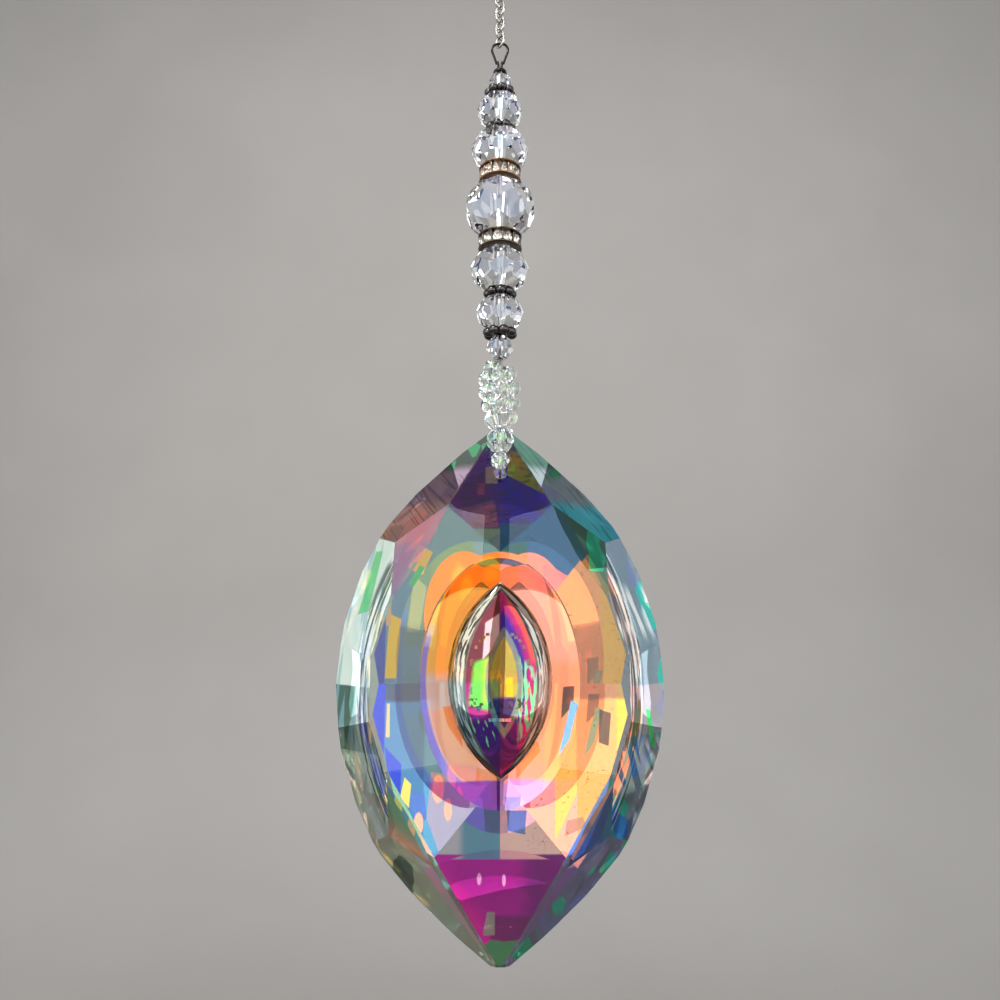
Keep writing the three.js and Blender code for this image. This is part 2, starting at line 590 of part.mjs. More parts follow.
  // raised pointed eye on the dish floor
  {
    const rr = (EYE_L * EYE_L + EYE_W * EYE_W) / (2 * EYE_W);
    const rings = [];
    for (let j = 0; j <= EYE_ROWS; j++) {
      const zz = Math.sin(-Math.PI / 2 + (Math.PI * j) / EYE_ROWS) * EYE_L * 0.998;
      const half2 = Math.max(0.02, Math.sqrt(Math.max(0, rr * rr - zz * zz)) - (rr - EYE_W));
      const share = Math.min(1, half2 / EYE_W);
      const low = dishDepth(0, zz + EYE_AT) - EYE_SUNK;
      const top = dishDepth(half2, zz + EYE_AT) + EYE_RISE * Math.pow(share, 0.7) - 0.35;
      const ring = [];
      for (let k = 0; k <= EYE_COLS; k++) {
        const a = Math.PI * (k / EYE_COLS);
        const c = Math.cos(a), q = Math.sin(a);
        ring.push(V(half2 * Math.sign(c) * Math.pow(Math.abs(c), 0.72), -(low + (top - low) * Math.pow(q, 0.72)), zz + EYE_AT));
      }
      rings.push(ring);
    }
    const g = skin(rings, false);
    let eye = toManifold(g);
    if (eye.volume() < 0) {
      const flip = Array.from(g.index.array);
      for (let i = 0; i < flip.length; i += 3) [flip[i + 1], flip[i + 2]] = [flip[i + 2], flip[i + 1]];
      g.setIndex(flip);
      eye = toManifold(g);
    }
    body = body.add(eye);
  }
  // hole for the wire, through the top
  const drill = new THREE.CylinderGeometry(HOLE_D / 2, HOLE_D / 2, 30, 10);
  drill.translate(0, 0, HOLE_Z);
  return fromManifold(body.subtract(toManifold(drill)));
}
add(group, 'crystal', crystal(), CRYSTAL).position.set(0, 0, crystalZ);

export default group;
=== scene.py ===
import math
import random

import bmesh
import bpy
from mathutils import Matrix, Vector


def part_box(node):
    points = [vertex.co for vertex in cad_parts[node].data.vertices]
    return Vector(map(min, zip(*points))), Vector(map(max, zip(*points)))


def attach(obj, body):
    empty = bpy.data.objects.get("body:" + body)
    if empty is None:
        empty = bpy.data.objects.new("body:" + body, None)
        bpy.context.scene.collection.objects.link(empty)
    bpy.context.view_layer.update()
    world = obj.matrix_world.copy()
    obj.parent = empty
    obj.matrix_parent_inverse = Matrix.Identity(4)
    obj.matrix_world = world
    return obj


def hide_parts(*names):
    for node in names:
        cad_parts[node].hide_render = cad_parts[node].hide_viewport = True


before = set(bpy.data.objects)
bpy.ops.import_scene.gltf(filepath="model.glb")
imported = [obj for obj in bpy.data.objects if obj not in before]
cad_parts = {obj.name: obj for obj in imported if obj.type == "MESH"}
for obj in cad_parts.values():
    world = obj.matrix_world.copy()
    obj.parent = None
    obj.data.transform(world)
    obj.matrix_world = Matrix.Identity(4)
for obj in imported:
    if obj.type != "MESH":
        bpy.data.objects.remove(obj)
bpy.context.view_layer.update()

MM = 0.001
rng = random.Random(7)
scene = bpy.context.scene


# ---------------------------------------------------------------------------
# mesh helpers: everything is worked out in millimetres in the part's frame
# ---------------------------------------------------------------------------
def piece(name, verts, faces, mats, smooth=None, index=None, slot=None, stands_for=(), normals=None):
    mesh = bpy.data.meshes.new(name)
    mesh.from_pydata([tuple(c * MM for c in v) for v in verts], [], faces)
    for m in mats:
        mesh.materials.append(m)
    for i, poly in enumerate(mesh.polygons):
        poly.use_smooth = bool(smooth[i]) if isinstance(smooth, (list, tuple)) else bool(smooth)
        if index is not None:
            poly.material_index = index[i]
    mesh.validate()
    mesh.update()
    if normals is not None:
        mesh.normals_split_custom_set(normals)
    ob = bpy.data.objects.new(name, mesh)
    scene.collection.objects.link(ob)
    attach(ob, "root")
    if stands_for:
        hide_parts(*stands_for)
    return ob


class Build:
    """Gathers several closed shapes into one mesh."""

    def __init__(self):
        self.v, self.f, self.s, self.m = [], [], [], []

    def add(self, verts, faces, smooth=True, mat=0, move=None):
        base = len(self.v)
        self.v += [tuple(move @ Vector(p)) if move is not None else tuple(p) for p in verts]
        self.f += [[i + base for i in f] for f in faces]
        self.s += [smooth] * len(faces)
        self.m += [mat] * len(faces)

    def done(self, name, mats, **kw):
        return piece(name, self.v, self.f, mats, smooth=self.s, index=self.m, **kw)


def torus(major, minor, n_major, n_minor):
    v, f = [], []
    for i in range(n_major):
        a = 2 * math.pi * i / n_major
        for j in range(n_minor):
            b = 2 * math.pi * j / n_minor
            r = major + minor * math.cos(b)
            v.append((r * math.cos(a), minor * math.sin(b), r * math.sin(a)))
    for i in range(n_major):
        for j in range(n_minor):
            i2, j2 = (i + 1) % n_major, (j + 1) % n_minor
            f.append([i * n_minor + j, i * n_minor + j2, i2 * n_minor + j2, i2 * n_minor + j])
    return v, f


def lathe(profile, n):
    """Closed profile of (radius, height) turned about Z."""
    v, f, k = [], [], len(profile)
    for i in range(n):
        a = 2 * math.pi * i / n
        for r, z in profile:
            v.append((r * math.cos(a), r * math.sin(a), z))
    for i in range(n):
        i2 = (i + 1) % n
        for j in range(k):
            j2 = (j + 1) % k
            f.append([i * k + j, i2 * k + j, i2 * k + j2, i * k + j2])
    return v, f


def ball(rx, ry, rz, rings=10, segs=18):
    v, f = [(0, 0, rz)], []
    for i in range(1, rings):
        p = math.pi * i / rings
        for j in range(segs):
            a = 2 * math.pi * j / segs
            v.append((rx * math.sin(p) * math.cos(a), ry * math.sin(p) * math.sin(a), rz * math.cos(p)))
    v.append((0, 0, -rz))
    for j in range(segs):
        f.append([0, 1 + j, 1 + (j + 1) % segs])
    for i in range(rings - 2):
        for j in range(segs):
            a, b = 1 + i * segs + j, 1 + i * segs + (j + 1) % segs
            f.append([a, a + segs, b + segs, b])
    last = len(v) - 1
    for j in range(segs):
        a, b = 1 + (rings - 2) * segs + j, 1 + (rings - 2) * segs + (j + 1) % segs
        f.append([a, last, b])
    return v, f


def tube(points, radius, sides, closed=True):
    """Round tube along points, its frame carried along without twist."""
    pts = [Vector(p) for p in points]
    n = len(pts)
    tang = [(pts[(i + 1) % n] - pts[(i - 1) % n]).normalized() for i in range(n)]
    u = Vector((0, 1, 0))
    frames = []
    for t in tang:
        u = (u - t * u.dot(t)).normalized()
        frames.append(u.copy())
    back = (frames[-1] - tang[0] * frames[-1].dot(tang[0])).normalized()
    drift = math.atan2(back.dot(tang[0].cross(frames[0])), back.dot(frames[0]))
    v, f = [], []
    for i, (p, t, fr) in enumerate(zip(pts, tang, frames)):
        fr = Matrix.Rotation(-drift * i / n, 3, t) @ fr
        w = t.cross(fr)
        for k in range(sides):
            a = 2 * math.pi * k / sides
            v.append(p + fr * (radius * math.cos(a)) + w * (radius * math.sin(a)))
    for i in range(n if closed else n - 1):
        i2 = (i + 1) % n
        for k in range(sides):
            k2 = (k + 1) % sides
            f.append([i * sides + k, i * sides + k2, i2 * sides + k2, i2 * sides + k])
    return v, f


def catmull(points, steps):
    out, n = [], len(points)
    pts = [Vector(p) for p in points]
    for i in range(n):
        p0, p1, p2, p3 = pts[(i - 1) % n], pts[i], pts[(i + 1) % n], pts[(i + 2) % n]
        for k in range(steps):
            t = k / steps
            out.append(0.5 * ((2 * p1) + (p2 - p0) * t + (2 * p0 - 5 * p1 + 4 * p2 - p3) * t * t
                              + (3 * p1 - p0 - 3 * p2 + p3) * t ** 3))
    return out


# ---------------------------------------------------------------------------
# materials
# ---------------------------------------------------------------------------
def new_material(name):
    m = bpy.data.materials.new(name)
    m.use_nodes = True
    nt = m.node_tree
    bsdf = nt.nodes["Principled BSDF"]
    return m, nt, bsdf


def noise(nt, scale, detail=3.0, rough=0.55, distortion=0.0):
    tc = nt.nodes.new("ShaderNodeTexCoord")
    n = nt.nodes.new("ShaderNodeTexNoise")
    n.inputs["Scale"].default_value = scale
    n.inputs["Detail"].default_value = detail
    n.inputs["Roughness"].default_value = rough
    n.inputs["Distortion"].default_value = distortion
    nt.links.new(tc.outputs["Object"], n.inputs["Vector"])
    return n.outputs["Fac"]


def ramp(nt, fac, stops):
    r = nt.nodes.new("ShaderNodeValToRGB")
    els = r.color_ramp.elements
    while len(els) > 2:
        els.remove(els[-1])
    for i, (p, c) in enumerate(stops):
        e = els[i] if i < 2 else els.new(p)
        e.position = p
        e.color = (*c, 1.0)
    nt.links.new(fac, r.inputs["Fac"])
    return r.outputs["Color"]


def remap(nt, fac, lo, hi, a=0.0, b=1.0):
    n = nt.nodes.new("ShaderNodeMapRange")
    n.inputs["From Min"].default_value = lo
    n.inputs["From Max"].default_value = hi
    n.inputs["To Min"].default_value = a
    n.inputs["To Max"].default_value = b
    nt.links.new(fac, n.inputs["Value"])
    return n.outputs["Result"]


def metal(name, dark, light, rough, scale=900.0, bump=0.02, worn=None):
    """Plated metal: tone drifts between two colours, high points are rubbed brighter."""
    m, nt, b = new_material(name)
    col = ramp(nt, noise(nt, scale, 4.0), [(0.32, dark), (0.68, light)])
    if worn is not None:
        geo = nt.nodes.new("ShaderNodeNewGeometry")
        mix = nt.nodes.new("ShaderNodeMix")
        mix.data_type = "RGBA"
        nt.links.new(remap(nt, geo.outputs["Pointiness"], 0.5, 0.6), mix.inputs["Factor"])
        nt.links.new(col, mix.inputs["A"])
        mix.inputs["B"].default_value = (*worn, 1.0)
        col = mix.outputs["Result"]
    nt.links.new(col, b.inputs["Base Color"])
    b.inputs["Metallic"].default_value = 1.0
    nt.links.new(remap(nt, noise(nt, scale * 1.7, 5.0), 0.3, 0.7, rough * 0.7, rough * 1.35), b.inputs["Roughness"])
    bp = nt.nodes.new("ShaderNodeBump")
    bp.inputs["Strength"].default_value = bump
    bp.inputs["Distance"].default_value = 0.00005
    nt.links.new(noise(nt, scale * 2.5, 4.0), bp.inputs["Height"])
    nt.links.new(bp.outputs["Normal"], b.inputs["Normal"])
    return m


def glass(name, tint, tint2, ior=1.56, scale=120.0, spec=None, film=None):
    """Clear cut crystal. The tint drifts a little through the piece."""
    m, nt, b = new_material(name)
    nt.links.new(ramp(nt, noise(nt, scale, 2.0), [(0.35, tint), (0.65, tint2)]), b.inputs["Base Color"])
    b.inputs["Transmission Weight"].default_value = 1.0
    b.inputs["IOR"].default_value = ior
    b.inputs["Roughness"].default_value = 0.0
    if spec is not None:
        b.inputs["Specular Tint"].default_value = (*spec, 1.0)
    if film is not None:
        b.inputs["Thin Film Thickness"].default_value = film[0]
        b.inputs["Thin Film IOR"].default_value = film[1]
    return m


silver = metal("plated_silver", (0.30, 0.285, 0.265), (0.62, 0.60, 0.57), 0.13)
gunmetal = metal("gunmetal", (0.016, 0.015, 0.015), (0.055, 0.050, 0.048), 0.11, bump=0.005, worn=(0.13, 0.12, 0.115))
bronze = metal("antiqued_bronze", (0.030, 0.019, 0.012), (0.19, 0.11, 0.065), 0.20, scale=420.0, worn=(0.38, 0.25, 0.17))
dark_bronze = metal("dark_bronze", (0.016, 0.013, 0.011), (0.09, 0.066, 0.048), 0.20, scale=420.0, worn=(0.24, 0.19, 0.15))
wire_metal = metal("blackened_wire", (0.018, 0.016, 0.015), (0.05, 0.045, 0.041), 0.25)


def rubbed_wire():
    """Blackened at the top, rubbed back to pale steel where it runs through the loop."""
    m, nt, b = new_material("rubbed_wire")
    tc = nt.nodes.new("ShaderNodeTexCoord")
    sep = nt.nodes.new("ShaderNodeSeparateXYZ")
    nt.links.new(tc.outputs["Object"], sep.inputs[0])
    mix = nt.nodes.new("ShaderNodeMix")
    mix.data_type = "RGBA"
    nt.links.new(remap(nt, sep.outputs["Z"], -0.1600, -0.1530, 1.0, 0.0), mix.inputs["Factor"])
    nt.links.new(ramp(nt, noise(nt, 900.0, 4.0), [(0.32, (0.018, 0.016, 0.015)), (0.68, (0.05, 0.045, 0.041))]), mix.inputs["A"])
    nt.links.new(ramp(nt, noise(nt, 700.0, 4.0), [(0.32, (0.42, 0.41, 0.39)), (0.68, (0.62, 0.61, 0.59))]), mix.inputs["B"])
    nt.links.new(mix.outputs["Result"], b.inputs["Base Color"])
    b.inputs["Metallic"].default_value = 1.0
    nt.links.new(remap(nt, noise(nt, 1500.0, 4.0), 0.3, 0.7, 0.16, 0.30), b.inputs["Roughness"])
    return m


strand_wire = rubbed_wire()
foil = metal("stone_foil", (0.66, 0.64, 0.60), (0.86, 0.85, 0.82), 0.10)
bead_glass = glass("bead_crystal", (0.70, 0.72, 0.74), (0.88, 0.89, 0.90), ior=1.60, film=(180.0, 1.75))
loop_glass = glass("loop_crystal_glass", (0.84, 0.86, 0.855), (0.95, 0.96, 0.955), ior=1.50, film=(400.0, 1.7))
stone_glass = glass("stone_crystal", (0.92, 0.92, 0.90), (0.98, 0.98, 0.97))

# ---------------------------------------------------------------------------
# chain: round links of round wire
# ---------------------------------------------------------------------------
LINK_R, LINK_WIRE, LINKS, PITCH = 1.0, 0.25, 62, 1.55
chain = Build()
for i in range(LINKS):
    v, f = torus(LINK_R, LINK_WIRE, 20, 8)
    sway = math.radians(rng.uniform(-5, 5))
    turn = Matrix.Rotation(math.radians(45 + 90 * (i % 2)) + sway, 4, "Z")
    chain.add(v, f, move=Matrix.Translation((0, 0, -0.75 - PITCH * i)) @ turn)
chain.done("chain_links", [silver], slot="chain_silver", stands_for=["chain"])

# ---------------------------------------------------------------------------
# strand: spacers and wire. Beads keep their cut solids.
# ---------------------------------------------------------------------------
def centre(node):
    lo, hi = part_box(node)
    return (lo + hi) / 2 / MM


def extent(node):
    lo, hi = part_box(node)
    return (hi - lo) / MM


for k, node in enumerate(["daisy_spacer_1", "daisy_spacer_2", "daisy_spacer_3", "daisy_spacer_4"]):
    c = centre(node)
    size = [5.6, 5.6, 5.8, 6.0][k]
    grain = size / 2 / (1 + 1 / math.sin(math.pi / 8)) * 1.13
    ring = size / 2 - grain
    b = Build()
    first = math.radians([9, 31, 4, 17][k])
    for i in range(8):
        a = first + 2 * math.pi * i / 8
        g = grain * rng.uniform(0.97, 1.03)
        v, f = ball(g, g, g * 0.84)
        b.add(v, f, move=Matrix.Translation((ring * math.cos(a), ring * math.sin(a), 0)) @ Matrix.Rotation(a, 4, "Z"))
    h = 0.42
    v, f = lathe([(0.75, -h * 0.6), (0.95, -h), (1.5, -h), (1.72, -h * 0.3), (1.72, h * 0.3), (1.5, h), (0.95, h), (0.75, h * 0.6)], 32)
    b.add(v, f)
    b.v = [tuple(Vector(p) + c) for p in b.v]
    b.done(node + "_grains", [gunmetal], slot="spacer_gunmetal", stands_for=[node])

# crimp
c = centre("crimp")
v, f = lathe([(0.62, -0.4), (0.95, -0.4), (1.12, -0.3), (1.2, -0.12), (1.18, 0.1), (1.08, 0.28), (0.9, 0.4), (0.62, 0.4)], 40)
b = Build()
b.add(v, f, move=Matrix.Translation(c))
b.done("crimp_turned", [wire_metal], slot="crimp_dark", stands_for=["crimp"])


def cut_stone(w, h, out, back, table=0.58):
    """A small cut stone that looks along +X: bevelled crown in front, pointed back behind."""
    v, f = [], []
    girdle, crown, low = [], [], []
    for k in range(8):
        a = math.pi / 8 + 2 * math.pi * k / 8
        ca, sa = math.cos(a), math.sin(a)
        e = 0.62
        y = w / 2 * math.copysign(abs(ca) ** e, ca)
        z = h / 2 * math.copysign(abs(sa) ** e, sa)
        girdle.append(len(v)); v.append((0, y, z))
    for k in range(8):
        a = math.pi / 8 + 2 * math.pi * (k + 0.5) / 8
        crown.append(len(v)); v.append((out, w / 2 * table * math.cos(a), h / 2 * table * math.sin(a)))
    for k in range(8):
        low.append(len(v)); v.append((-0.03, v[girdle[k]][1], v[girdle[k]][2]))
    tip = len(v); v.append((-back, 0, 0))
    f.append(crown[:])
    for k in range(8):
        k2 = (k + 1) % 8
        f.append([girdle[k], girdle[k2], crown[k]])
        f.append([girdle[k2], crown[k2], crown[k]])
        f.append([low[k], low[k2], girdle[k2], girdle[k]])
        f.append([low[k2], low[k], tip])
    mats = [0] + [0, 0, 0, 1] * 8
    return v, f, mats


for node, size, count, rim_mat, wide in (("rondelle_upper", 7.4, 14, bronze, 1.25), ("rondelle_lower", 7.6, 11, dark_bronze, 1.75)):
    c = centre(node + "_metal")
    R, H = size / 2, 2.7
    b = Build()
    # channel with two rounded rims
    prof = [(0.75, -H / 2), (R - 0.45, -H / 2), (R - 0.18, -H / 2 + 0.05), (R - 0.02, -H / 2 + 0.2), (R - 0.05, -H / 2 + 0.28),
            (R - 0.25, -H / 2 + 0.38), (2.0, -H / 2 + 0.38), (2.0, H / 2 - 0.38), (R - 0.25, H / 2 - 0.38), (R - 0.05, H / 2 - 0.28),
            (R - 0.02, H / 2 - 0.2), (R - 0.18, H / 2 - 0.05), (R - 0.45, H / 2), (0.75, H / 2)]
    v, f = lathe(prof, 72)
    b.add(v, f, move=Matrix.Translation(c))
    # small posts between the stones, tying the rims
    for i in range(count):
        a = 2 * math.pi * (i + 0.5) / count
        v, f = ball(0.17, 0.17, H / 2 - 0.34, 6, 8)
        b.add(v, f, move=Matrix.Translation(c) @ Matrix.Rotation(a, 4, "Z") @ Matrix.Translation((R - 0.28, 0, 0)))
    b.done(node + "_rims", [rim_mat], slot="rondelle_bronze", stands_for=[node + "_metal"])
    s = Build()
    w = 2 * math.pi * (R - 0.62) / count - 0.16
    for i in range(count):
        a = 2 * math.pi * i / count
        v, f, mm = cut_stone(w, H - 0.8, 0.50, 0.72)
        tip = Matrix.Rotation(math.radians(rng.uniform(-3, 3)), 4, "Y") @ Matrix.Rotation(math.radians(rng.uniform(-3, 3)), 4, "Z")
        move = Matrix.Translation(c) @ Matrix.Rotation(a, 4, "Z") @ Matrix.Translation((R - 0.62, 0, 0)) @ tip
        base = len(s.v)
        s.v += [tuple(move @ Vector(p)) for p in v]
        s.f += [[q + base for q in face] for face in f]
        s.s += [False] * len(f)
        s.m += mm
    s.done(node + "_cut_stones", [stone_glass, foil], slot="rondelle_stone", stands_for=[node + "_stones"])

# ---------------------------------------------------------------------------
# beading wire: one closed length, doubled through the strand and round the loop
# ---------------------------------------------------------------------------
LOOP_HEIGHT, LOOP_TURN, WIRE_APART, EYE_HEIGHT, EYE_HALF, WIRE = 20.5, -44.0, 0.25, 5.4, 1.45, 0.44
LOOP_BULGE = [(0, 0.25), (0.08, 1.4), (0.16, 2.5), (0.25, 3.3), (0.36, 4.0), (0.5, 4.6), (0.65, 5.05), (0.8, 5.4), (0.92, 5.5), (0.985, 5.2)]
HOLE_Z = 33.4
crystal_mid = Vector((0, 0, centre("crystal").z))
crimp_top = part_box("crimp")[1].z / MM
strand_end = crystal_mid.z + HOLE_Z + LOOP_HEIGHT


def bulge(s):
    for (s0, r0), (s1, r1) in zip(LOOP_BULGE, LOOP_BULGE[1:]):
        if s <= s1:
            return r0 + (r1 - r0) * (s - s0) / (s1 - s0)
    return LOOP_BULGE[-1][1]


def smoothstep(x, a, b):
    t = min(1.0, max(0.0, (x - a) / (b - a)))
    return t * t * (3 - 2 * t)


def loop_point(s, side):
    turn = math.radians(LOOP_TURN) * (1 - smoothstep(s, 0.02, 0.75))
    r = bulge(s) * side
    return Vector((r * math.sin(turn), -r * math.cos(turn), strand_end - s * LOOP_HEIGHT))


pts = []
for x, s in [(-WIRE_APART, 0), (-0.62, 0.27), (-1.05, 0.52), (-EYE_HALF, 0.76), (-1.18, 0.92), (-0.62, 0.99), (0.62, 0.99), (1.18, 0.92),
             (EYE_HALF, 0.76), (1.05, 0.52), (0.62, 0.27), (WIRE_APART, 0)]:
    pts.append(Vector((x, 0, crimp_top + s * EYE_HEIGHT)))
turn = math.radians(LOOP_TURN)


def down(side, s):
    return Vector((side * WIRE_APART * math.sin(turn), -side * WIRE_APART * math.cos(turn), crimp_top + (strand_end - crimp_top) * s))


for i in (1, 2):
    p = down(1, i / 3)
    pts.append(p.lerp(Vector((WIRE_APART, 0, p.z)), 1 - i / 3))
for i in range(16):
    pts.append(loop_point(i / 15 * 0.985, 1))
hole = crystal_mid.z + HOLE_Z
for y in (-3.6, -2.2, 0, 2.2, 3.6):
    pts.append(Vector((0, y, hole - (0.45 if abs(y) < 3 else 0.1))))
for i in range(15, -1, -1):
    pts.append(loop_point(i / 15 * 0.985, -1))
for i in (2, 1):
    p = down(-1, i / 3)
    pts.append(p.lerp(Vector((-WIRE_APART, 0, p.z)), 1 - i / 3))
b = Build()
v, f = tube(catmull(pts, 5), WIRE / 2 * 0.96, 12)
b.add(v, f)
b.done("beading_wire_drawn", [strand_wire], slot="wire_dark", stands_for=["beading_wire"])

# small polished rondelles of the loop, each square to the wire
LOOP_RONDELLES = {"rondelle_1": (3.3, 2.3), "rondelle_2": (3.7, 2.15), "rondelle_3": (3.8, 2.15), "rondelle_4": (3.8, 2.15)}
for side_name in ("front", "back"):
    for short, (dia, tall) in LOOP_RONDELLES.items():
        node = f"loop_{side_name}_{short}"
        c = centre(node)
        s = (strand_end - c.z) / LOOP_HEIGHT
        side = 1 if (loop_point(s, 1) - c).length < (loop_point(s, -1) - c).length else -1
        along = (loop_point(s - 0.02, side) - loop_point(s + 0.02, side)).normalized()
        r, h = dia / 2, tall / 2
        prof = [(0.50, -h), (r * 0.52, -h), (r * 0.74, -h * 0.86), (r * 0.92, -h * 0.52), (r * 0.995, 0.0),
                (r * 0.92, h * 0.52), (r * 0.74, h * 0.86), (r * 0.52, h), (0.50, h)]
        v, f = lathe(prof, 24)
        b = Build()
        b.add(v, f, move=Matrix.Translation(c) @ along.to_track_quat("Z", "X").to_matrix().to_4x4())
        b.done(node + "_polished", [loop_glass], slot="loop_crystal", stands_for=[node])

# ---------------------------------------------------------------------------
# crystal: the same cut as the solid, with finely ground dome, dish and eye
# ---------------------------------------------------------------------------
CR_H, CR_W, TIP_FLAT, GIRDLE = 82.0, 51.2, 1.5, 0.6
DOME_DEPTH, DOME_RX, DOME_RZ = 8.4, 110.0, 160.0
BACK_DEPTH, BSX, BSZ = 9.2, 0.165, 0.105
TOP_CORNER, LOW_CORNER, KITE_TIP = (8.3, 28.0), (9.8, 25.5), (16.7, 13.6)
KITE_RIM_Z, SIDE_RIM_Z, SIDE_TABLE = 25.3, 9.7, 19.6
KITE_DEPTH, TIP_DEPTH, SIDE_DEPTH = 2.9, 1.1, 0.9
DISH_X, DISH_Z, DISH_AT, DISH_FLOOR, DISH_CENTRE = 11.9, 18.4, 1.6, 5.0, 10.4
EYE_W, EYE_L, EYE_AT, EYE_SUNK, EYE_RISE = 8.2, 14.7, 1.45, 1.0, 2.9
HOLE_D = 1.9


def dome_depth(x, z):
    return DOME_DEPTH - x * x / (2 * DOME_RX) - z * z / (2 * DOME_RZ)


def back_depth(x, z):
    return BACK_DEPTH - BSX * abs(x) - BSZ * abs(z)


def dish_share(x, z):
    return (DISH_CENTRE - dome_depth(x, z)) / (DISH_CENTRE - DISH_FLOOR)


DISH_AX = DISH_X / math.sqrt(1 - dish_share(DISH_X, 0) ** 2)
DISH_AZ = DISH_Z / math.sqrt(1 - dish_share(0, DISH_Z) ** 2)
DISH_AY = DISH_CENTRE - DISH_FLOOR


def dish_depth(x, z):
    e = 1 - (x / DISH_AX) ** 2 - ((z - DISH_AT) / DISH_AZ) ** 2
    return DISH_CENTRE - DISH_AY * math.sqrt(max(0.0, e))


def facet(p, q, r):
    n = (q - p).cross(r - p).normalized()
    d = n.dot(p)
    if d < 0:
        n, d = -n, -d
    return n, d


def crystal_planes():
    h, w = CR_H / 2, CR_W / 2
    R = (h * h + w * w) / (2 * w)
    half = lambda z: math.sqrt(R * R - z * z) - (R - w)
    rim = [(half(z) + (0.3 if z > 36 else 0.2), z) for z in (0.5, SIDE_RIM_Z, 17.8, KITE_RIM_Z, 32.2, 37.6)] + [(TIP_FLAT, h)]
    out = []
    for sx in (-1, 1):
        out.append(("wall", Vector((sx, 0, 0)), rim[0][0]))
        for sz in (-1, 1):
            for a, b in zip(rim, rim[1:]):
                n = Vector(((b[1] - a[1]) * sx, 0, (a[0] - b[0]) * sz)).normalized()
                out.append(("wall", n, n.x * a[0] * sx + n.z * a[1] * sz))
    for sz in (-1, 1):
        out.append(("wall", Vector((0, 0, sz)), h))
    kx, sxr = half(KITE_RIM_Z) + 0.2, half(SIDE_RIM_Z) + 0.2
    V = Vector
    for face in (-1, 1):
        side = "front" if face < 0 else "back"
        depth = dome_depth if face < 0 else back_depth
        on = lambda x, z: V((x, face * depth(x, z), z))
        for sz in (-1, 1):
            ud = "top" if sz > 0 else "low"
            cx, cz = TOP_CORNER if sz > 0 else LOW_CORNER
            out.append((f"{side}_main_{ud}", *facet(on(cx, sz * cz), on(-cx, sz * cz), V((0, face * TIP_DEPTH, sz * h)))))
            for sx in (-1, 1):
                lr = "right" if sx > 0 else "left"
                out.append((f"{side}_kite_{ud}_{lr}", *facet(on(sx * cx, sz * cz), on(sx * KITE_TIP[0], sz * KITE_TIP[1]),
                                                             V((sx * kx, face * KITE_DEPTH, sz * KITE_RIM_Z)))))
                out.append((f"{side}_narrow_{ud}_{lr}", *facet(on(sx * cx, sz * cz), V((sx * kx, face * 0.9, sz * KITE_RIM_Z)),
                                                               V((sx * TIP_FLAT, face * GIRDLE, sz * h)))))
                out.append((f"{side}_side_{ud}_{lr}", *facet(on(sx * KITE_TIP[0], sz * KITE_TIP[1]), on(sx * (SIDE_TABLE - 0.75), sz * 6.8),
                                                             V((sx * sxr, face * SIDE_DEPTH, sz * SIDE_RIM_Z)))))
        for sx in (-1, 1):
            lr = "right" if sx > 0 else "left"
            out.append((f"{side}_side_mid_{lr}", *facet(on(sx * SIDE_TABLE, 5), on(sx * SIDE_TABLE, -5), V((sx * rim[0][0], face * SIDE_DEPTH, 0)))))
    for sx in (-1, 1):
        for sz in (-1, 1):
            n = Vector((sx * BSX, 1, sz * BSZ)).normalized()
            out.append((f"back_broad_{'top' if sz > 0 else 'low'}_{'right' if sx > 0 else 'left'}", n, n.y * BACK_DEPTH))
    return out


def solid_object(name, verts, faces):
    mesh = bpy.data.meshes.new(name)
    mesh.from_pydata([tuple(v) for v in verts], [], faces)
    bm = bmesh.new()
    bm.from_mesh(mesh)
    bmesh.ops.recalc_face_normals(bm, faces=bm.faces)
    bm.to_mesh(mesh)
    bm.free()
    ob = bpy.data.objects.new(name, mesh)
    scene.collection.objects.link(ob)
    return ob


def convex_from_planes(name, planes):
    bm = bmesh.new()
    bmesh.ops.create_cube(bm, size=200)
    for _, n, d in planes:
        ret = bmesh.ops.bisect_plane(bm, geom=bm.verts[:] + bm.edges[:] + bm.faces[:], dist=1e-5, plane_co=n * d, plane_no=n,
                                     clear_outer=True)
        cut = [e for e in ret["geom_cut"] if isinstance(e, bmesh.types.BMEdge) and e.is_valid and e.is_boundary]
        if len(cut) > 2:
            bmesh.ops.contextual_create(bm, geom=cut)
    bmesh.ops.recalc_face_normals(bm, faces=bm.faces)
    mesh = bpy.data.meshes.new(name)
    bm.to_mesh(mesh)
    bm.free()
    ob = bpy.data.objects.new(name, mesh)
    scene.collection.objects.link(ob)
    return ob


def dome_slab():
    nx, nz, X, Z = 64, 96, CR_W / 2 + 3, CR_H / 2 + 3
    v, f = [], []
    for j in range(nz + 1):
        for i in range(nx + 1):
            x, z = -X + 2 * X * i / nx, -Z + 2 * Z * j / nz
            v.append((x, -dome_depth(x, z), z))
    m = nx + 1
    for j in range(nz):
        for i in range(nx):
            a = j * m + i
            f.append([a, a + 1, a + m + 1, a + m])
    edge = [i for i in range(nx)] + [j * m + nx for j in range(nz)] + [nz * m + i for i in range(nx, 0, -1)] + [j * m for j in range(nz, 0, -1)]
    base = len(v)
    for e in edge:
        v.append((v[e][0], BACK_DEPTH + 2, v[e][2]))
    k = len(edge)
    for i in range(k):
        f.append([edge[i], base + i, base + (i + 1) % k, edge[(i + 1) % k]])
    f.append([base + i for i in range(k)])
    return v, f


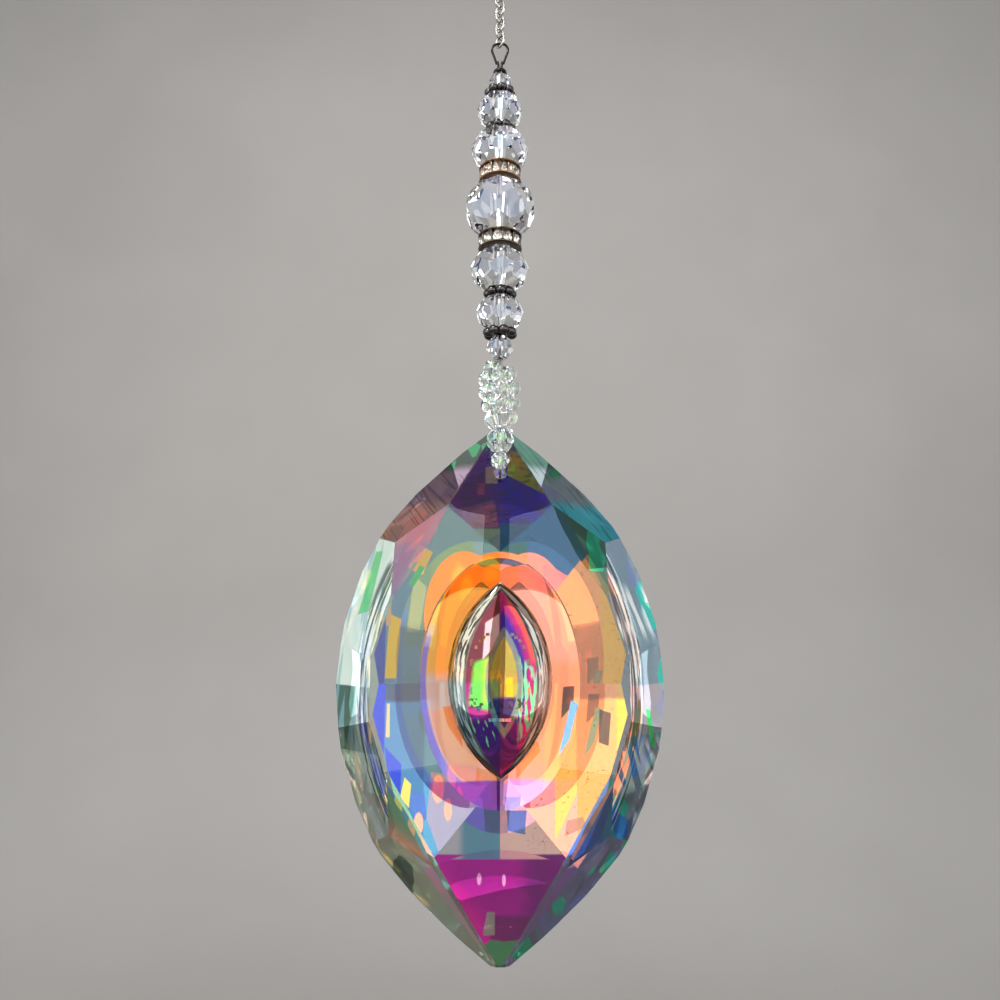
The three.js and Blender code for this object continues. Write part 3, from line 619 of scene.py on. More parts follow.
def dish_ball():
    """Ellipsoid of the dish, in close rings spaced evenly from pole to pole."""
    n, rings = 144, 60
    v, f = [], []
    lows = [math.pi * (i / rings) ** 1.0 for i in range(1, rings)]
    v.append((0, -DISH_CENTRE + DISH_AY, DISH_AT))
    for p in lows:
        for j in range(n):
            a = 2 * math.pi * j / n
            v.append((DISH_AX * math.sin(p) * math.cos(a), -DISH_CENTRE + DISH_AY * math.cos(p), DISH_AT + DISH_AZ * math.sin(p) * math.sin(a)))
    v.append((0, -DISH_CENTRE - DISH_AY, DISH_AT))
    for j in range(n):
        f.append([0, 1 + j, 1 + (j + 1) % n])
    for i in range(rings - 2):
        for j in range(n):
            a, b2 = 1 + i * n + j, 1 + i * n + (j + 1) % n
            f.append([a, a + n, b2 + n, b2])
    last = len(v) - 1
    for j in range(n):
        f.append([1 + (rings - 2) * n + j, last, 1 + (rings - 2) * n + (j + 1) % n])
    return v, f


def eye_loft():
    rows, cols = 90, 48
    rr = (EYE_L ** 2 + EYE_W ** 2) / (2 * EYE_W)
    v, f = [], []
    for j in range(rows + 1):
        z = math.sin(-math.pi / 2 + math.pi * j / rows) * EYE_L * 0.998
        half = max(0.02, math.sqrt(max(0.0, rr * rr - z * z)) - (rr - EYE_W))
        share = min(1.0, half / EYE_W)
        low = dish_depth(0, z + EYE_AT) - EYE_SUNK
        top = dish_depth(half, z + EYE_AT) + EYE_RISE * share ** 0.7 - 0.35
        for k in range(cols + 1):
            a = math.pi * k / cols
            c, q = math.cos(a), math.sin(a)
            v.append((half * math.copysign(abs(c) ** 0.72, c), -(low + (top - low) * max(0.0, q) ** 0.72), z + EYE_AT))
    m = cols + 1
    for j in range(rows):
        for k in range(cols):
            a = j * m + k
            f.append([a, a + 1, a + m + 1, a + m])
        f.append([j * m + cols, j * m, (j + 1) * m, (j + 1) * m + cols])
    f.append(list(range(m)))
    f.append([rows * m + k for k in range(cols, -1, -1)])
    return v, f


def boolean(target, tool, operation):
    mod = target.modifiers.new("cut", "BOOLEAN")
    mod.operation = operation
    mod.object = tool
    try:
        mod.solver = "MANIFOLD"
    except TypeError:
        mod.solver = "EXACT"
    dg = bpy.context.evaluated_depsgraph_get()
    made = bpy.data.meshes.new_from_object(target.evaluated_get(dg))
    target.modifiers.clear()
    target.data = made
    bpy.data.objects.remove(tool)
    return target


def crystal_mesh():
    planes = crystal_planes()
    body = convex_from_planes("cut", planes)
    boolean(body, solid_object("dome", *dome_slab()), "INTERSECT")
    boolean(body, solid_object("dish", *dish_ball()), "DIFFERENCE")
    boolean(body, solid_object("eye", *eye_loft()), "UNION")
    drill_v, drill_f = [], []
    for y in (-15, 15):
        for k in range(32):
            a = 2 * math.pi * k / 32
            drill_v.append((HOLE_D / 2 * math.cos(a), y, HOLE_Z + HOLE_D / 2 * math.sin(a)))
    for k in range(32):
        k2 = (k + 1) % 32
        drill_f.append([k, k2, 32 + k2, 32 + k])
    drill_f += [list(range(31, -1, -1)), list(range(32, 64))]
    boolean(body, solid_object("drill", drill_v, drill_f), "DIFFERENCE")
    me = body.data
    bpy.data.objects.remove(body)
    return me, planes


me, planes = crystal_mesh()
verts = [Vector(v.co) for v in me.vertices]
kinds, faces = [], []
for poly in me.polygons:
    n, c = poly.normal, poly.center
    kind = None
    best = 0.9995
    for name, pn, d in planes:
        if abs(pn.dot(c) - d) < 2e-3 and n.dot(pn) > best:
            kind, best = name, n.dot(pn)
    if kind is None:
        if math.hypot(c.x, c.z - HOLE_Z) < HOLE_D / 2 + 0.02 and abs(n.y) < 0.3:
            kind = "hole"
        else:
            e = (c.x / DISH_AX) ** 2 + ((c.y + DISH_CENTRE) / DISH_AY) ** 2 + ((c.z - DISH_AT) / DISH_AZ) ** 2
            if abs(-c.y - dome_depth(c.x, c.z)) < 0.01 and -n.y > 0.93 and abs(e - 1) > 1e-2 or (
                    abs(-c.y - dome_depth(c.x, c.z)) < 0.004 and -n.y > 0.93):
                kind = "dome"
            elif abs(e - 1) < 8e-3:
                kind = "dish"
            else:
                kind = "eye"
    kinds.append(kind)
    faces.append(list(poly.vertices))

# one area-weighted normal a vertex for the eye, worked out from its own faces
eye_n = {}
for poly, kind in zip(me.polygons, kinds):
    if kind == "eye":
        for i in poly.vertices:
            eye_n[i] = eye_n.get(i, Vector()) + poly.normal * poly.area


def curved_normal(kind, i, flat):
    x, y, z = verts[i]
    if kind == "dome":
        return Vector((x / -DOME_RX * -1, -1, z / DOME_RZ)).normalized()
    if kind == "dish":
        return -Vector((x / DISH_AX ** 2, (y + DISH_CENTRE) / DISH_AY ** 2, (z - DISH_AT) / DISH_AZ ** 2)).normalized()
    if kind == "eye":
        return eye_n[i].normalized()
    if kind == "hole":
        return Vector((-x, 0, -(z - HOLE_Z))).normalized()
    return flat


loop_normals = []
for poly, kind in zip(me.polygons, kinds):
    for i in poly.vertices:
        loop_normals.append(tuple(curved_normal(kind, i, poly.normal)))

# the front dome is bare crystal; the back facets carry the iridescent coat
front_glass = glass("crystal_bare", (0.97, 0.985, 0.985), (1.0, 1.0, 1.0), ior=1.54)


def scratched(m):
    """Short hairline scratches and specks on the right of the dome."""
    nt = m.node_tree
    b = nt.nodes["Principled BSDF"]
    p = Paint(nt, (1.0, 1.0, 1.0))
    nt.links.new(b.inputs["Base Color"].links[0].from_socket, p.lay((1.0, 1.0, 1.0), p.x * 0.0).inputs["A"])
    hair = p.noise(520.0, 1.0).size().fall(0.0035, 0.002) * p.noise(380.0, 1.0).rise(0.10, 0.02)
    speck = p.noise(2600.0, 0.0).rise(0.27, 0.02)
    p.lay((0.22, 0.18, 0.16), hair.most(speck) * p.x.rise(3.0, 3.0), 0.8)
    nt.links.new(p.col, b.inputs["Base Color"])


class Field:
    """A number worked out by shader nodes, written with ordinary arithmetic."""

    def __init__(self, nt, value):
        self.nt, self.value = nt, value

    def _op(self, op, other=None, third=None):
        n = self.nt.nodes.new("ShaderNodeMath")
        n.operation = op
        for i, v in enumerate((self, other, third)):
            if v is None:
                continue
            v = v.value if isinstance(v, Field) else v
            if isinstance(v, (int, float)):
                n.inputs[i].default_value = v
            else:
                self.nt.links.new(v, n.inputs[i])
        return Field(self.nt, n.outputs[0])

    def __add__(self, o):
        return self._op("ADD", o)

    def __sub__(self, o):
        return self._op("SUBTRACT", o)

    def __mul__(self, o):
        return self._op("MULTIPLY", o)

    def __truediv__(self, o):
        return self._op("DIVIDE", o)

    def __neg__(self):
        return self._op("MULTIPLY", -1.0)

    def root(self):
        return self._op("SQRT")

    def least(self, o):
        return self._op("MINIMUM", o)

    def most(self, o):
        return self._op("MAXIMUM", o)

    def size(self):
        return self._op("ABSOLUTE")

    def rise(self, at, width):
        """0 below `at`, 1 above, eased over `width`."""
        n = self.nt.nodes.new("ShaderNodeMapRange")
        n.interpolation_type = "SMOOTHSTEP"
        self.nt.links.new(self.value, n.inputs["Value"])
        n.inputs["From Min"].default_value = at - width / 2
        n.inputs["From Max"].default_value = at + width / 2
        return Field(self.nt, n.outputs["Result"])

    def fall(self, at, width):
        return Field(self.nt, (-self.rise(at, width) + 1.0).value)

    def between(self, lo, hi, width):
        return self.rise(lo, width) * self.fall(hi, width)


def srgb(r, g, b, power=1.2):
    """Colour as it should look, given for the coat's base."""
    out = []
    for c in (r, g, b):
        c /= 255
        c = c / 12.92 if c <= 0.04045 else ((c + 0.055) / 1.055) ** 2.4
        out.append(c ** power)
    return out


class Paint:
    """Colour over a coated facet, laid on shape by shape. x and z are millimetres from the crystal's middle."""

    def __init__(self, nt, base):
        self.nt = nt
        tc = nt.nodes.new("ShaderNodeTexCoord")
        sep = nt.nodes.new("ShaderNodeSeparateXYZ")
        nt.links.new(tc.outputs["Object"], sep.inputs[0])
        self.x = Field(nt, sep.outputs["X"]) * 1000.0
        self.z = Field(nt, sep.outputs["Z"]) * 1000.0 - crystal_mid.z
        self.tc = tc
        rgb = nt.nodes.new("ShaderNodeRGB")
        rgb.outputs[0].default_value = (*base, 1.0)
        self.col = rgb.outputs[0]

    def noise(self, scale, detail=2.0):
        n = self.nt.nodes.new("ShaderNodeTexNoise")
        n.inputs["Scale"].default_value = scale
        n.inputs["Detail"].default_value = detail
        self.nt.links.new(self.tc.outputs["Object"], n.inputs["Vector"])
        return Field(self.nt, n.outputs["Fac"]) - 0.5

    def lay(self, colour, mask, share=1.0):
        m = self.nt.nodes.new("ShaderNodeMix")
        m.data_type = "RGBA"
        self.nt.links.new((mask * share).value, m.inputs["Factor"])
        self.nt.links.new(self.col, m.inputs["A"])
        m.inputs["B"].default_value = (*colour, 1.0)
        self.col = m.outputs["Result"]
        return m

    def ring(self, cx, cz, ax, az):
        dx, dz = (self.x - cx) / ax, (self.z - cz) / az
        return (dx * dx + dz * dz).root()

    def pointed(self, cx, cz, half_w, half_l):
        """Millimetres inside the edge of a pointed oval."""
        big = (half_l ** 2 + half_w ** 2) / (2 * half_w)
        dx, dz = (self.x - cx).size() + (big - half_w), self.z - cz
        return -(dx * dx + dz * dz).root() + big

    def cells(self, scale, jitter=1.0, turn=0.0):
        """Angular cells with one value each."""
        m = self.nt.nodes.new("ShaderNodeMapping")
        m.inputs["Rotation"].default_value = (0.0, turn, 0.0)
        m.inputs["Scale"].default_value = (1.0, 0.05, 0.6)
        self.nt.links.new(self.tc.outputs["Object"], m.inputs["Vector"])
        n = self.nt.nodes.new("ShaderNodeTexVoronoi")
        n.inputs["Scale"].default_value = scale
        n.inputs["Randomness"].default_value = jitter
        self.nt.links.new(m.outputs[0], n.inputs["Vector"])
        sep = self.nt.nodes.new("ShaderNodeSeparateColor")
        self.nt.links.new(n.outputs["Color"], sep.inputs[0])
        return Field(self.nt, sep.outputs[0])

    def streaks(self, u, v, detail=2.0):
        """Noise over two worked-out coordinates."""
        c = self.nt.nodes.new("ShaderNodeCombineXYZ")
        self.nt.links.new(u.value, c.inputs[0])
        self.nt.links.new(v.value, c.inputs[1])
        n = self.nt.nodes.new("ShaderNodeTexNoise")
        n.inputs["Scale"].default_value = 1.0
        n.inputs["Detail"].default_value = detail
        self.nt.links.new(c.outputs[0], n.inputs["Vector"])
        return Field(self.nt, n.outputs["Fac"]) - 0.5

    def side(self, x0, z0, x1, z1, width=0.15):
        """1 on the left of the line from the first point to the second, seen from the front."""
        length = math.hypot(x1 - x0, z1 - z0)
        nx, nz = -(z1 - z0) / length, (x1 - x0) / length
        return ((self.x - x0) * nx + (self.z - z0) * nz).rise(0.0, width)

    def shape(self, *corners, width=0.15):
        """Inside of a convex outline, corners anticlockwise seen from the front."""
        out = None
        for p, q in zip(corners, corners[1:] + corners[:1]):
            s = self.side(*p, *q, width=width)
            out = s if out is None else out * s
        return out


scratched(front_glass)
COAT_SHARE = 0.6
mats = [front_glass]
where = {}


def coat(key, base, paint=None, metallic=COAT_SHARE, cloud=0.12, rough=0.0, power=1.2):
    """Iridescent coat on a facet: part mirror, part clear, both in the colour of the coat."""
    m, nt, b = new_material("coat_" + key)
    p = Paint(nt, srgb(*base, power=power))
    if paint:
        paint(p)
    shade = p.noise(70.0, 3.0) * (2 * cloud) + 1.0
    mul = nt.nodes.new("ShaderNodeVectorMath")
    mul.operation = "SCALE"
    nt.links.new(p.col, mul.inputs[0])
    nt.links.new(shade.value, mul.inputs["Scale"])
    nt.links.new(mul.outputs[0], b.inputs["Base Color"])
    b.inputs["Metallic"].default_value = metallic
    b.inputs["Transmission Weight"].default_value = 1.0
    b.inputs["IOR"].default_value = 1.54
    b.inputs["Roughness"].default_value = rough
    where[key] = len(mats)
    mats.append(m)


def paint_main_top(p):
    p.lay(srgb(38, 16, 205, power=1.4), p.x.rise(-1.0, 5.0))
    p.lay(srgb(150, 85, 150), p.shape((-7.5, 24.8), (-0.2, 24.4), (-1.0, 28.5), (-7, 27)), 0.7)
    p.lay(srgb(190, 60, 110), p.shape((-3.8, 29.5), (-2.6, 29.5), (-2.6, 31.5), (-3.8, 31.5)), 0.8)
    p.lay(srgb(120, 175, 8, power=1.0), p.shape((1.2, 33), (7.5, 29.5), (9, 34), (1.2, 38)))
    p.lay((0.01, 0.01, 0.03), p.streaks(p.x * 0.5, p.z * 1.3, 2.0).rise(0.06, 0.03), 0.7)
    p.lay(srgb(205, 190, 140), p.shape((-2.4, 31.5), (-0.4, 31.5), (-0.4, 34.5), (-2.4, 34.5)), 0.8)
    p.lay(srgb(70, 110, 95), p.z.rise(37.5, 3.0), 0.8)
    p.lay(srgb(115, 165, 165), p.z.fall(24.4, 0.3))
    p.lay(srgb(0, 88, 150), p.z.fall(25.2, 0.3) * p.x.rise(0.0, 0.1))


def lobes(p):
    """Scalloped outline round the dish: the dish and four cut facets seen through it overlap."""
    r = p.ring(0, 1.6, 12.3, 19.0).fall(1.0, 0.02)
    a = p.ring(-5.6, 10.5, 6.2, 10.2).fall(1.0, 0.02)
    b = p.ring(4.6, 9.5, 6.4, 11.0).fall(1.0, 0.02)
    return r.most(a).most(b)


def paint_broad_top_left(p):
    p.lay(srgb(105, 160, 185), p.x.fall(-11.0, 1.0))
    p.lay(srgb(185, 215, 225), p.shape((-14.5, 8), (-12.5, 8), (-11.5, 15), (-13.5, 17)), 0.6)
    p.lay(srgb(255, 160, 18), lobes(p) * p.z.rise(0.5, 1.0))
    p.lay(srgb(255, 200, 50), p.ring(-6.4, 15.8, 1.6, 3.4).fall(0.8, 0.6))
    p.lay(srgb(255, 190, 40), p.ring(-1.8, 18.6, 1.8, 1.6).fall(0.8, 0.6))
    p.lay(srgb(255, 205, 10, power=1.0), p.shape((-17.8, 0.8), (-16.0, 0.8), (-15.4, 10.0), (-17.2, 10.8)))
    p.lay(srgb(235, 190, 120), p.shape((-17.8, 9), (-17.0, 9), (-17.0, 14.5), (-18.4, 14.5)))
    p.lay(srgb(35, 70, 190), p.x.fall(-17.8, 0.2) * p.z.fall(12.5, 2.0))
    p.lay(srgb(252, 205, 60), p.shape((-13.8, 17.6), (-12.2, 17.0), (-10.6, 20.6), (-12.0, 21.4)))
    p.lay(srgb(70, 215, 120), p.shape((-14.4, 15.6), (-13.6, 15.0), (-11.8, 18.0), (-12.6, 18.6)))


def paint_broad_top_right(p):
    p.lay(srgb(250, 165, 150), lobes(p))
    p.lay(srgb(250, 150, 155), p.shape((7.4, 14.5), (9.8, 14.6), (10.6, 16.8), (6.6, 19.2)), 0.8)
    p.lay(srgb(255, 180, 115), p.side(12.9, 19.6, 9.4, 15.2) * p.x.rise(9.0, 0.3))
    p.lay(srgb(240, 195, 75), p.x.rise(15.8, 0.6), 0.85)


def paint_broad_low_left(p):
    p.lay(srgb(78, 132, 170), p.x.fall(-11.5, 0.4))
    p.lay(srgb(55, 60, 85), p.x.fall(-11.5, 0.4) * (p.z + p.noise(160.0) * 1.6).between(-2.6, 0.2, 0.6), 0.85)
    p.lay(srgb(30, 60, 185), p.x.fall(-17.6, 0.2))
    p.lay(srgb(35, 70, 190), p.shape((-17.0, -13.8), (-15.0, -16.3), (-14.9, -12.0), (-17.5, -9.4)))
    p.lay(srgb(250, 205, 110), p.shape((-15.0, -16.8), (-13.7, -18.3), (-13.4, -14.9), (-14.4, -13.9)))
    p.lay(srgb(245, 195, 130), p.shape((-17.4, -8.0), (-16.8, -8.0), (-16.9, -3.0), (-17.3, -3.0)), 0.8)
    p.lay(srgb(90, 125, 190), p.shape((-12.5, -22.2), (-11.0, -19.8), (-11.4, -16.0), (-13.5, -16.4)))
    p.lay(srgb(250, 180, 150), p.ring(-12.2, -20.6, 0.7, 1.6).fall(1.0, 0.2))
    p.lay(srgb(165, 160, 178), p.shape((-11.0, -19.8), (-8.6, -26.1), (-0.1, -25.0), (-0.1, -18.5), (-5.4, -14.2), (-10.4, -13.1)))
    p.lay(srgb(60, 150, 180), p.shape((-5.0, -24.8), (0.0, -25.0), (0.0, -18.0), (-5.5, -16.6), (-3.4, -20.0), (-4.6, -22.0), width=1.0), 0.9)
    p.lay(srgb(250, 180, 150), p.ring(-9.3, -15.6, 0.9, 2.0).fall(1.0, 0.3), 0.9)
    p.lay(srgb(250, 180, 150), p.ring(-7.8, -18.6, 0.6, 1.6).fall(1.0, 0.3), 0.9)


def paint_broad_low_right(p):
    p.lay(srgb(255, 190, 105), p.side(8.9, -21.8, 11.6, -16.1) * p.x.rise(8.3, 0.2))
    p.lay(srgb(238, 165, 98), p.x.rise(11.6, 0.2))
    p.lay(srgb(225, 190, 60), p.x.rise(17.8, 0.6), 0.85)
    p.lay(srgb(105, 75, 70), (p.z + p.noise(160.0) * 1.6).between(-2.4, 0.2, 0.6) * p.x.rise(11.6, 0.3), 0.7)
    p.lay(srgb(60, 40, 35), p.shape((15.0, -8.8), (16.5, -9.3), (17.0, -4.4), (15.2, -3.9)), 0.9)
    p.lay(srgb(120, 150, 195), p.shape((1.2, -21.7), (3.7, -22.2), (4.0, -18.8), (1.0, -18.8)))
    p.lay(srgb(150, 120, 110), p.shape((9.6, -22.5), (13.0, -21.0), (12.4, -19.6), (10.0, -20.2)), 0.7)


def paint_main_low(p):
    p.lay(srgb(235, 8, 170), p.side(-3.0, -34.0, -9.0, -27.0, width=5.0))
    p.lay(srgb(120, 30, 130), p.x.rise(3.5, 4.0), 0.8)
    p.lay(srgb(105, 35, 95), p.z.fall(-33.5, 1.0) * p.x.rise(-1.5, 0.5), 0.8)
    p.lay(srgb(250, 215, 235), p.ring(-3.2, -28.0, 0.35, 0.9).most(0.0).fall(1.0, 0.4))
    p.lay(srgb(250, 215, 235), p.ring(0.6, -28.2, 0.3, 0.9).most(0.0).fall(1.0, 0.4))
    p.lay(srgb(170, 190, 150), p.shape((-2.6, -36.5), (-0.8, -36.5), (-0.8, -33.0), (-2.0, -33.0)), 0.9)
    p.lay(srgb(75, 180, 95), (p.z + p.noise(260.0) * 3.0).fall(-37.4, 0.4))
    p.lay(srgb(110, 165, 185), p.z.rise(-25.0, 0.3) * p.x.fall(0.0, 0.1))
    p.lay(srgb(245, 222, 215), p.z.rise(-25.0, 0.3) * p.x.fall(-5.8, 1.5), 0.5)
    p.lay(srgb(255, 205, 188, power=1.0), p.z.rise(-25.0, 0.3) * p.x.rise(0.0, 0.1))
    p.lay(srgb(120, 150, 195), p.shape((1.2, -21.7), (3.7, -22.2), (4.0, -18.8), (1.0, -18.8)))


coat("back_broad_top_left", (120, 170, 172), paint_broad_top_left)
coat("back_broad_top_right", (0, 105, 160), paint_broad_top_right)
coat("back_broad_low_left", (95, 160, 190), paint_broad_low_left)
coat("back_broad_low_right", (255, 170, 145), paint_broad_low_right)
coat("back_main_top", (88, 22, 135), paint_main_top)
coat("back_main_low", (195, 8, 170), paint_main_low)
coat("back_kite_top_left", (205, 125, 150), lambda p: p.lay(srgb(150, 120, 170), p.z.fall(22.0, 8.0)))
coat("back_kite_top_right", (60, 140, 130), lambda p: p.lay(srgb(90, 60, 70), p.z.fall(20.0, 4.0), 0.8))
coat("back_kite_low_left", (140, 180, 150), lambda p: p.lay(srgb(245, 175, 155), p.z.fall(-23.0, 5.0)))
coat("back_kite_low_right", (100, 125, 165), lambda p: p.lay(srgb(70, 130, 230), p.z.fall(-22.0, 3.0), 0.6))
coat("back_narrow_top_left", (150, 150, 160), lambda p: p.lay(srgb(210, 140, 130), p.z.fall(31.0, 6.0)))
coat("back_narrow_top_right", (80, 190, 155), lambda p: p.lay(srgb(125, 135, 155), p.z.fall(32.0, 4.0)))
coat("back_narrow_low_left", (205, 215, 190))
coat("back_narrow_low_right", (165, 160, 200))
coat("back_side_left", (190, 220, 205), lambda p: p.lay(srgb(60, 115, 105), p.cells(260.0, turn=0.2).rise(0.72, 0.01)), metallic=0.4)
# the right side coat carries painted glints: small turquoise flashes of reflected light
coat("back_side_right", (135, 160, 175), lambda p: p.lay(srgb(60, 210, 190), p.cells(300.0, turn=-0.3).rise(0.84, 0.01)), metallic=0.4)


# front facets: a thin film tint, more glass than mirror
def paint_dish(p):
    p.lay(srgb(255, 180, 50), p.z.rise(2.0, 3.0) * p.x.fall(0.0, 0.1))
    p.lay(srgb(225, 195, 180), p.z.between(-3.0, 2.0, 1.5) * p.x.fall(-6.0, 1.0), 0.7)
    p.lay(srgb(255, 185, 165), p.x.rise(0.0, 0.1) * p.z.rise(-2.0, 2.0))
    p.lay(srgb(250, 165, 110), p.x.rise(7.6, 1.0) * p.z.between(-11.0, 4.0, 3.0), 0.7)
    p.lay(srgb(130, 110, 200), p.ring(0, 1.6, 11.9, 18.4).rise(0.93, 0.03) * p.x.fall(-3.0, 2.0) * p.z.fall(8.0, 5.0), 0.85)
    p.lay(srgb(70, 25, 20), p.shape((9.1, -4.3), (10.9, -2.3), (11.1, 0.5), (9.5, 0.3)), 0.95)
    p.lay(srgb(255, 140, 50), p.shape((-7.8, -5.4), (-5.6, -8.6), (-5.8, -2.6), (-8.6, -2.6)))
    p.lay(srgb(255, 150, 70), p.shape((-3.6, -13.2), (-0.4, -14.6), (0.4, -12.6), (-3.4, -11.4)))
    p.lay(srgb(255, 150, 70), p.shape((2.4, -13.0), (6.0, -9.0), (5.6, -7.6), (2.4, -11.0)))
    p.lay(srgb(80, 185, 255), p.shape((8.6, -9.6), (10.2, -7.2), (11.6, -2.0), (10.6, -1.6)))
    p.lay(srgb(150, 30, 160), p.z.fall(-13.2, 0.4) * p.x.fall(0.0, 0.1))
    p.lay(srgb(205, 170, 235), p.z.fall(-13.0, 1.0) * p.x.rise(0.0, 0.1))


def paint_eye(p):
    inner = p.pointed(0.2, 1.0, 5.3, 13.6)
    outer = p.pointed(0, EYE_AT, EYE_W, EYE_L)
    # painted dark reflections: fine dark strokes over the eye's silvery rim, stronger towards the tips
    dark_reflection_strokes = p.streaks(outer * 2.6, p.z * 0.22 + p.x * 0.1, 3.0)
    p.lay(srgb(30, 30, 28), dark_reflection_strokes.rise(0.02, 0.03) * inner.fall(0.0, 0.3) * (p.z.size().rise(3.0, 6.0) * 0.45 + 0.5))
    p.lay(srgb(30, 26, 30), inner.between(-0.35, 0.1, 0.2), 0.75)
    inside = inner.rise(0.0, 0.15)
    p.lay(srgb(200, 30, 135), inside)
    p.lay(srgb(255, 120, 60), inside * inner.fall(0.7, 0.5) * p.x.rise(1.0, 1.0) * p.z.rise(4.0, 2.0), 0.7)
    p.lay(srgb(70, 25, 175), inner.rise(1.5, 1.2) * p.x.rise(0.0, 0.2) * p.z.between(-12.0, 12.0, 3.0))
    p.lay(srgb(110, 50, 60), inside * p.x.fall(0.0, 0.1) * p.z.rise(1.0, 1.0), 0.9)
    p.lay(srgb(225, 205, 215), p.shape((-2.6, 4.4), (-0.1, 7.0), (-0.1, 11.2), (-2.2, 9.8), width=0.3))
    p.lay(srgb(130, 225, 90), p.shape((-4.6, -2.2), (-1.0, -3.0), (-1.0, 5.0), (-3.8, 4.0), width=0.8) * inside)
    p.lay(srgb(235, 215, 60), p.shape((-2.6, -1.8), (-1.0, -1.8), (-0.8, 4.4), (-2.2, 4.4), width=1.2), 0.7)
    green = p.streaks(p.x * 2.2, p.z * 0.3, 1.0)
    p.lay(srgb(140, 235, 190), green.rise(-0.03, 0.06) * p.shape((2.6, -7.6), (5.6, -4.0), (5.6, 2.6), (2.6, 5.0), width=0.8) * inside)
    p.lay(srgb(95, 15, 130), p.z.fall(-4.2, 1.6) * inside * p.x.fall(2.6, 0.8))
    p.lay(srgb(120, 20, 125), p.z.fall(-8.6, 1.6) * inside)
    p.lay(srgb(165, 230, 150), (p.streaks(p.x * 1.6 + p.z * 0.6, p.z * 0.5, 1.0)).rise(0.12, 0.02) * p.z.between(-9.0, -4.0, 1.0) * inside * p.x.fall(-0.8, 0.4))
    s = p.pointed(0.6, 1.2, 2.3, 7.2)
    p.lay(srgb(150, 165, 150), s.between(-0.5, 0.35, 0.3), 0.85)
    p.lay(srgb(205, 190, 90), s.rise(0.3, 0.2) * p.z.rise(-1.0, 1.0))
    p.lay(srgb(60, 50, 120), s.rise(0.3, 0.2) * p.z.fall(-1.2, 0.8))
    p.lay(srgb(30, 25, 30), p.streaks(p.x * 0.9, p.z * 0.9, 1.0).rise(0.05, 0.03) * p.shape((-4.6, -2.6), (3.6, -2.6), (3.6, -1.2), (-4.6, -1.2), width=0.4), 0.9)
    p.lay(srgb(255, 225, 20), p.shape((0.9, -0.9), (1.9, -0.9), (1.9, 1.9), (0.9, 1.8), width=0.2))


coat("front_dish", (255, 178, 135), paint_dish, metallic=0.25)
coat("front_eye", (205, 210, 200), paint_eye, metallic=0.40)
coat("front_main_top", (222, 218, 235), metallic=0.0)
coat("front_main_low", (245, 200, 235), metallic=0.0)
coat("front_kite_top_left", (150, 122, 148), lambda p: p.lay(srgb(180, 125, 135), p.z.between(22.0, 27.0, 2.0)), metallic=0.30)
# painted glints: small turquoise flashes of reflected light on the kite facet
coat("front_kite_top_right", (112, 142, 118), lambda p: p.lay(srgb(50, 225, 175), p.cells(420.0, turn=0.5).rise(0.86, 0.01)), metallic=0.22)
coat("front_kite_low_left", (150, 190, 165), lambda p: p.lay(srgb(245, 180, 160), p.side(-10, -25, -19, -17, width=4.0)), metallic=0.45)
# painted glints: small blue flashes of reflected light on the kite facet
coat("front_kite_low_right", (110, 125, 160), lambda p: p.lay(srgb(70, 140, 250), p.cells(380.0, turn=0.4).rise(0.86, 0.01)), metallic=0.42)


def paint_narrow_top(p, base, low, glint, turn):
    p.lay(base, p.z.fall(34.5, 2.0))
    p.lay(low, p.z.fall(28.5, 2.5))
    p.lay(glint, p.cells(520.0, turn=turn).rise(0.72, 0.01) * p.z.rise(33.0, 2.0), 0.85)
    p.lay((0.02, 0.03, 0.03), p.streaks(p.x * 1.6 + p.z * 1.2, p.z * 0.15, 2.0).rise(0.08, 0.03), 0.45)


coat("front_narrow_top_left", (72, 88, 80), lambda p: paint_narrow_top(p, srgb(178, 154, 172), srgb(238, 190, 180), srgb(70, 165, 115), 0.7), metallic=0.50)
coat("front_narrow_top_right", (75, 130, 115), lambda p: paint_narrow_top(p, srgb(172, 182, 188), srgb(105, 215, 228), srgb(45, 190, 140), -0.7), metallic=0.52)
coat("front_narrow_low_left", (215, 222, 200), lambda p: p.lay(srgb(50, 95, 75), (p.ring(-14.6, -28.2, 1.7, 3.6) + p.noise(260.0) * 1.2).fall(1.0, 0.15), 0.9), metallic=0.4)
# painted glints: small turquoise flashes of reflected light on the narrow facet
coat("front_narrow_low_right", (175, 170, 205), lambda p: p.lay(srgb(70, 235, 190), p.cells(460.0, turn=-0.6).rise(0.90, 0.01)), metallic=0.3)
def paint_side_left(p):
    p.lay(srgb(60, 105, 92), p.z.between(-9.6, 0.2, 0.3) * p.side(-22.0, -9.6, -22.0, 0.2, width=1.0).most(0.5))
    p.lay(srgb(150, 190, 200), p.streaks(p.x * 0.8 - p.z * 0.1, p.z * 0.05, 1.0).rise(0.06, 0.06), 0.6)
    p.lay(srgb(90, 215, 130), p.shape((-22.4, 11.0), (-20.4, 11.6), (-18.6, 21.0), (-19.8, 21.0)), 0.8)
    # painted reflections along the rim: dark streaks and pure white highlight streaks
    edge = p.pointed(0.0, 0.0, CR_W / 2, CR_H / 2)
    s = p.streaks(edge * 2.6, p.z * 0.10, 2.0)
    p.lay(srgb(50, 70, 60), s.rise(0.05, 0.03) * edge.rise(3.6, 0.6), 0.85)
    p.lay((1.0, 1.0, 1.0), s.fall(-0.07, 0.04) * edge.rise(3.6, 0.6))


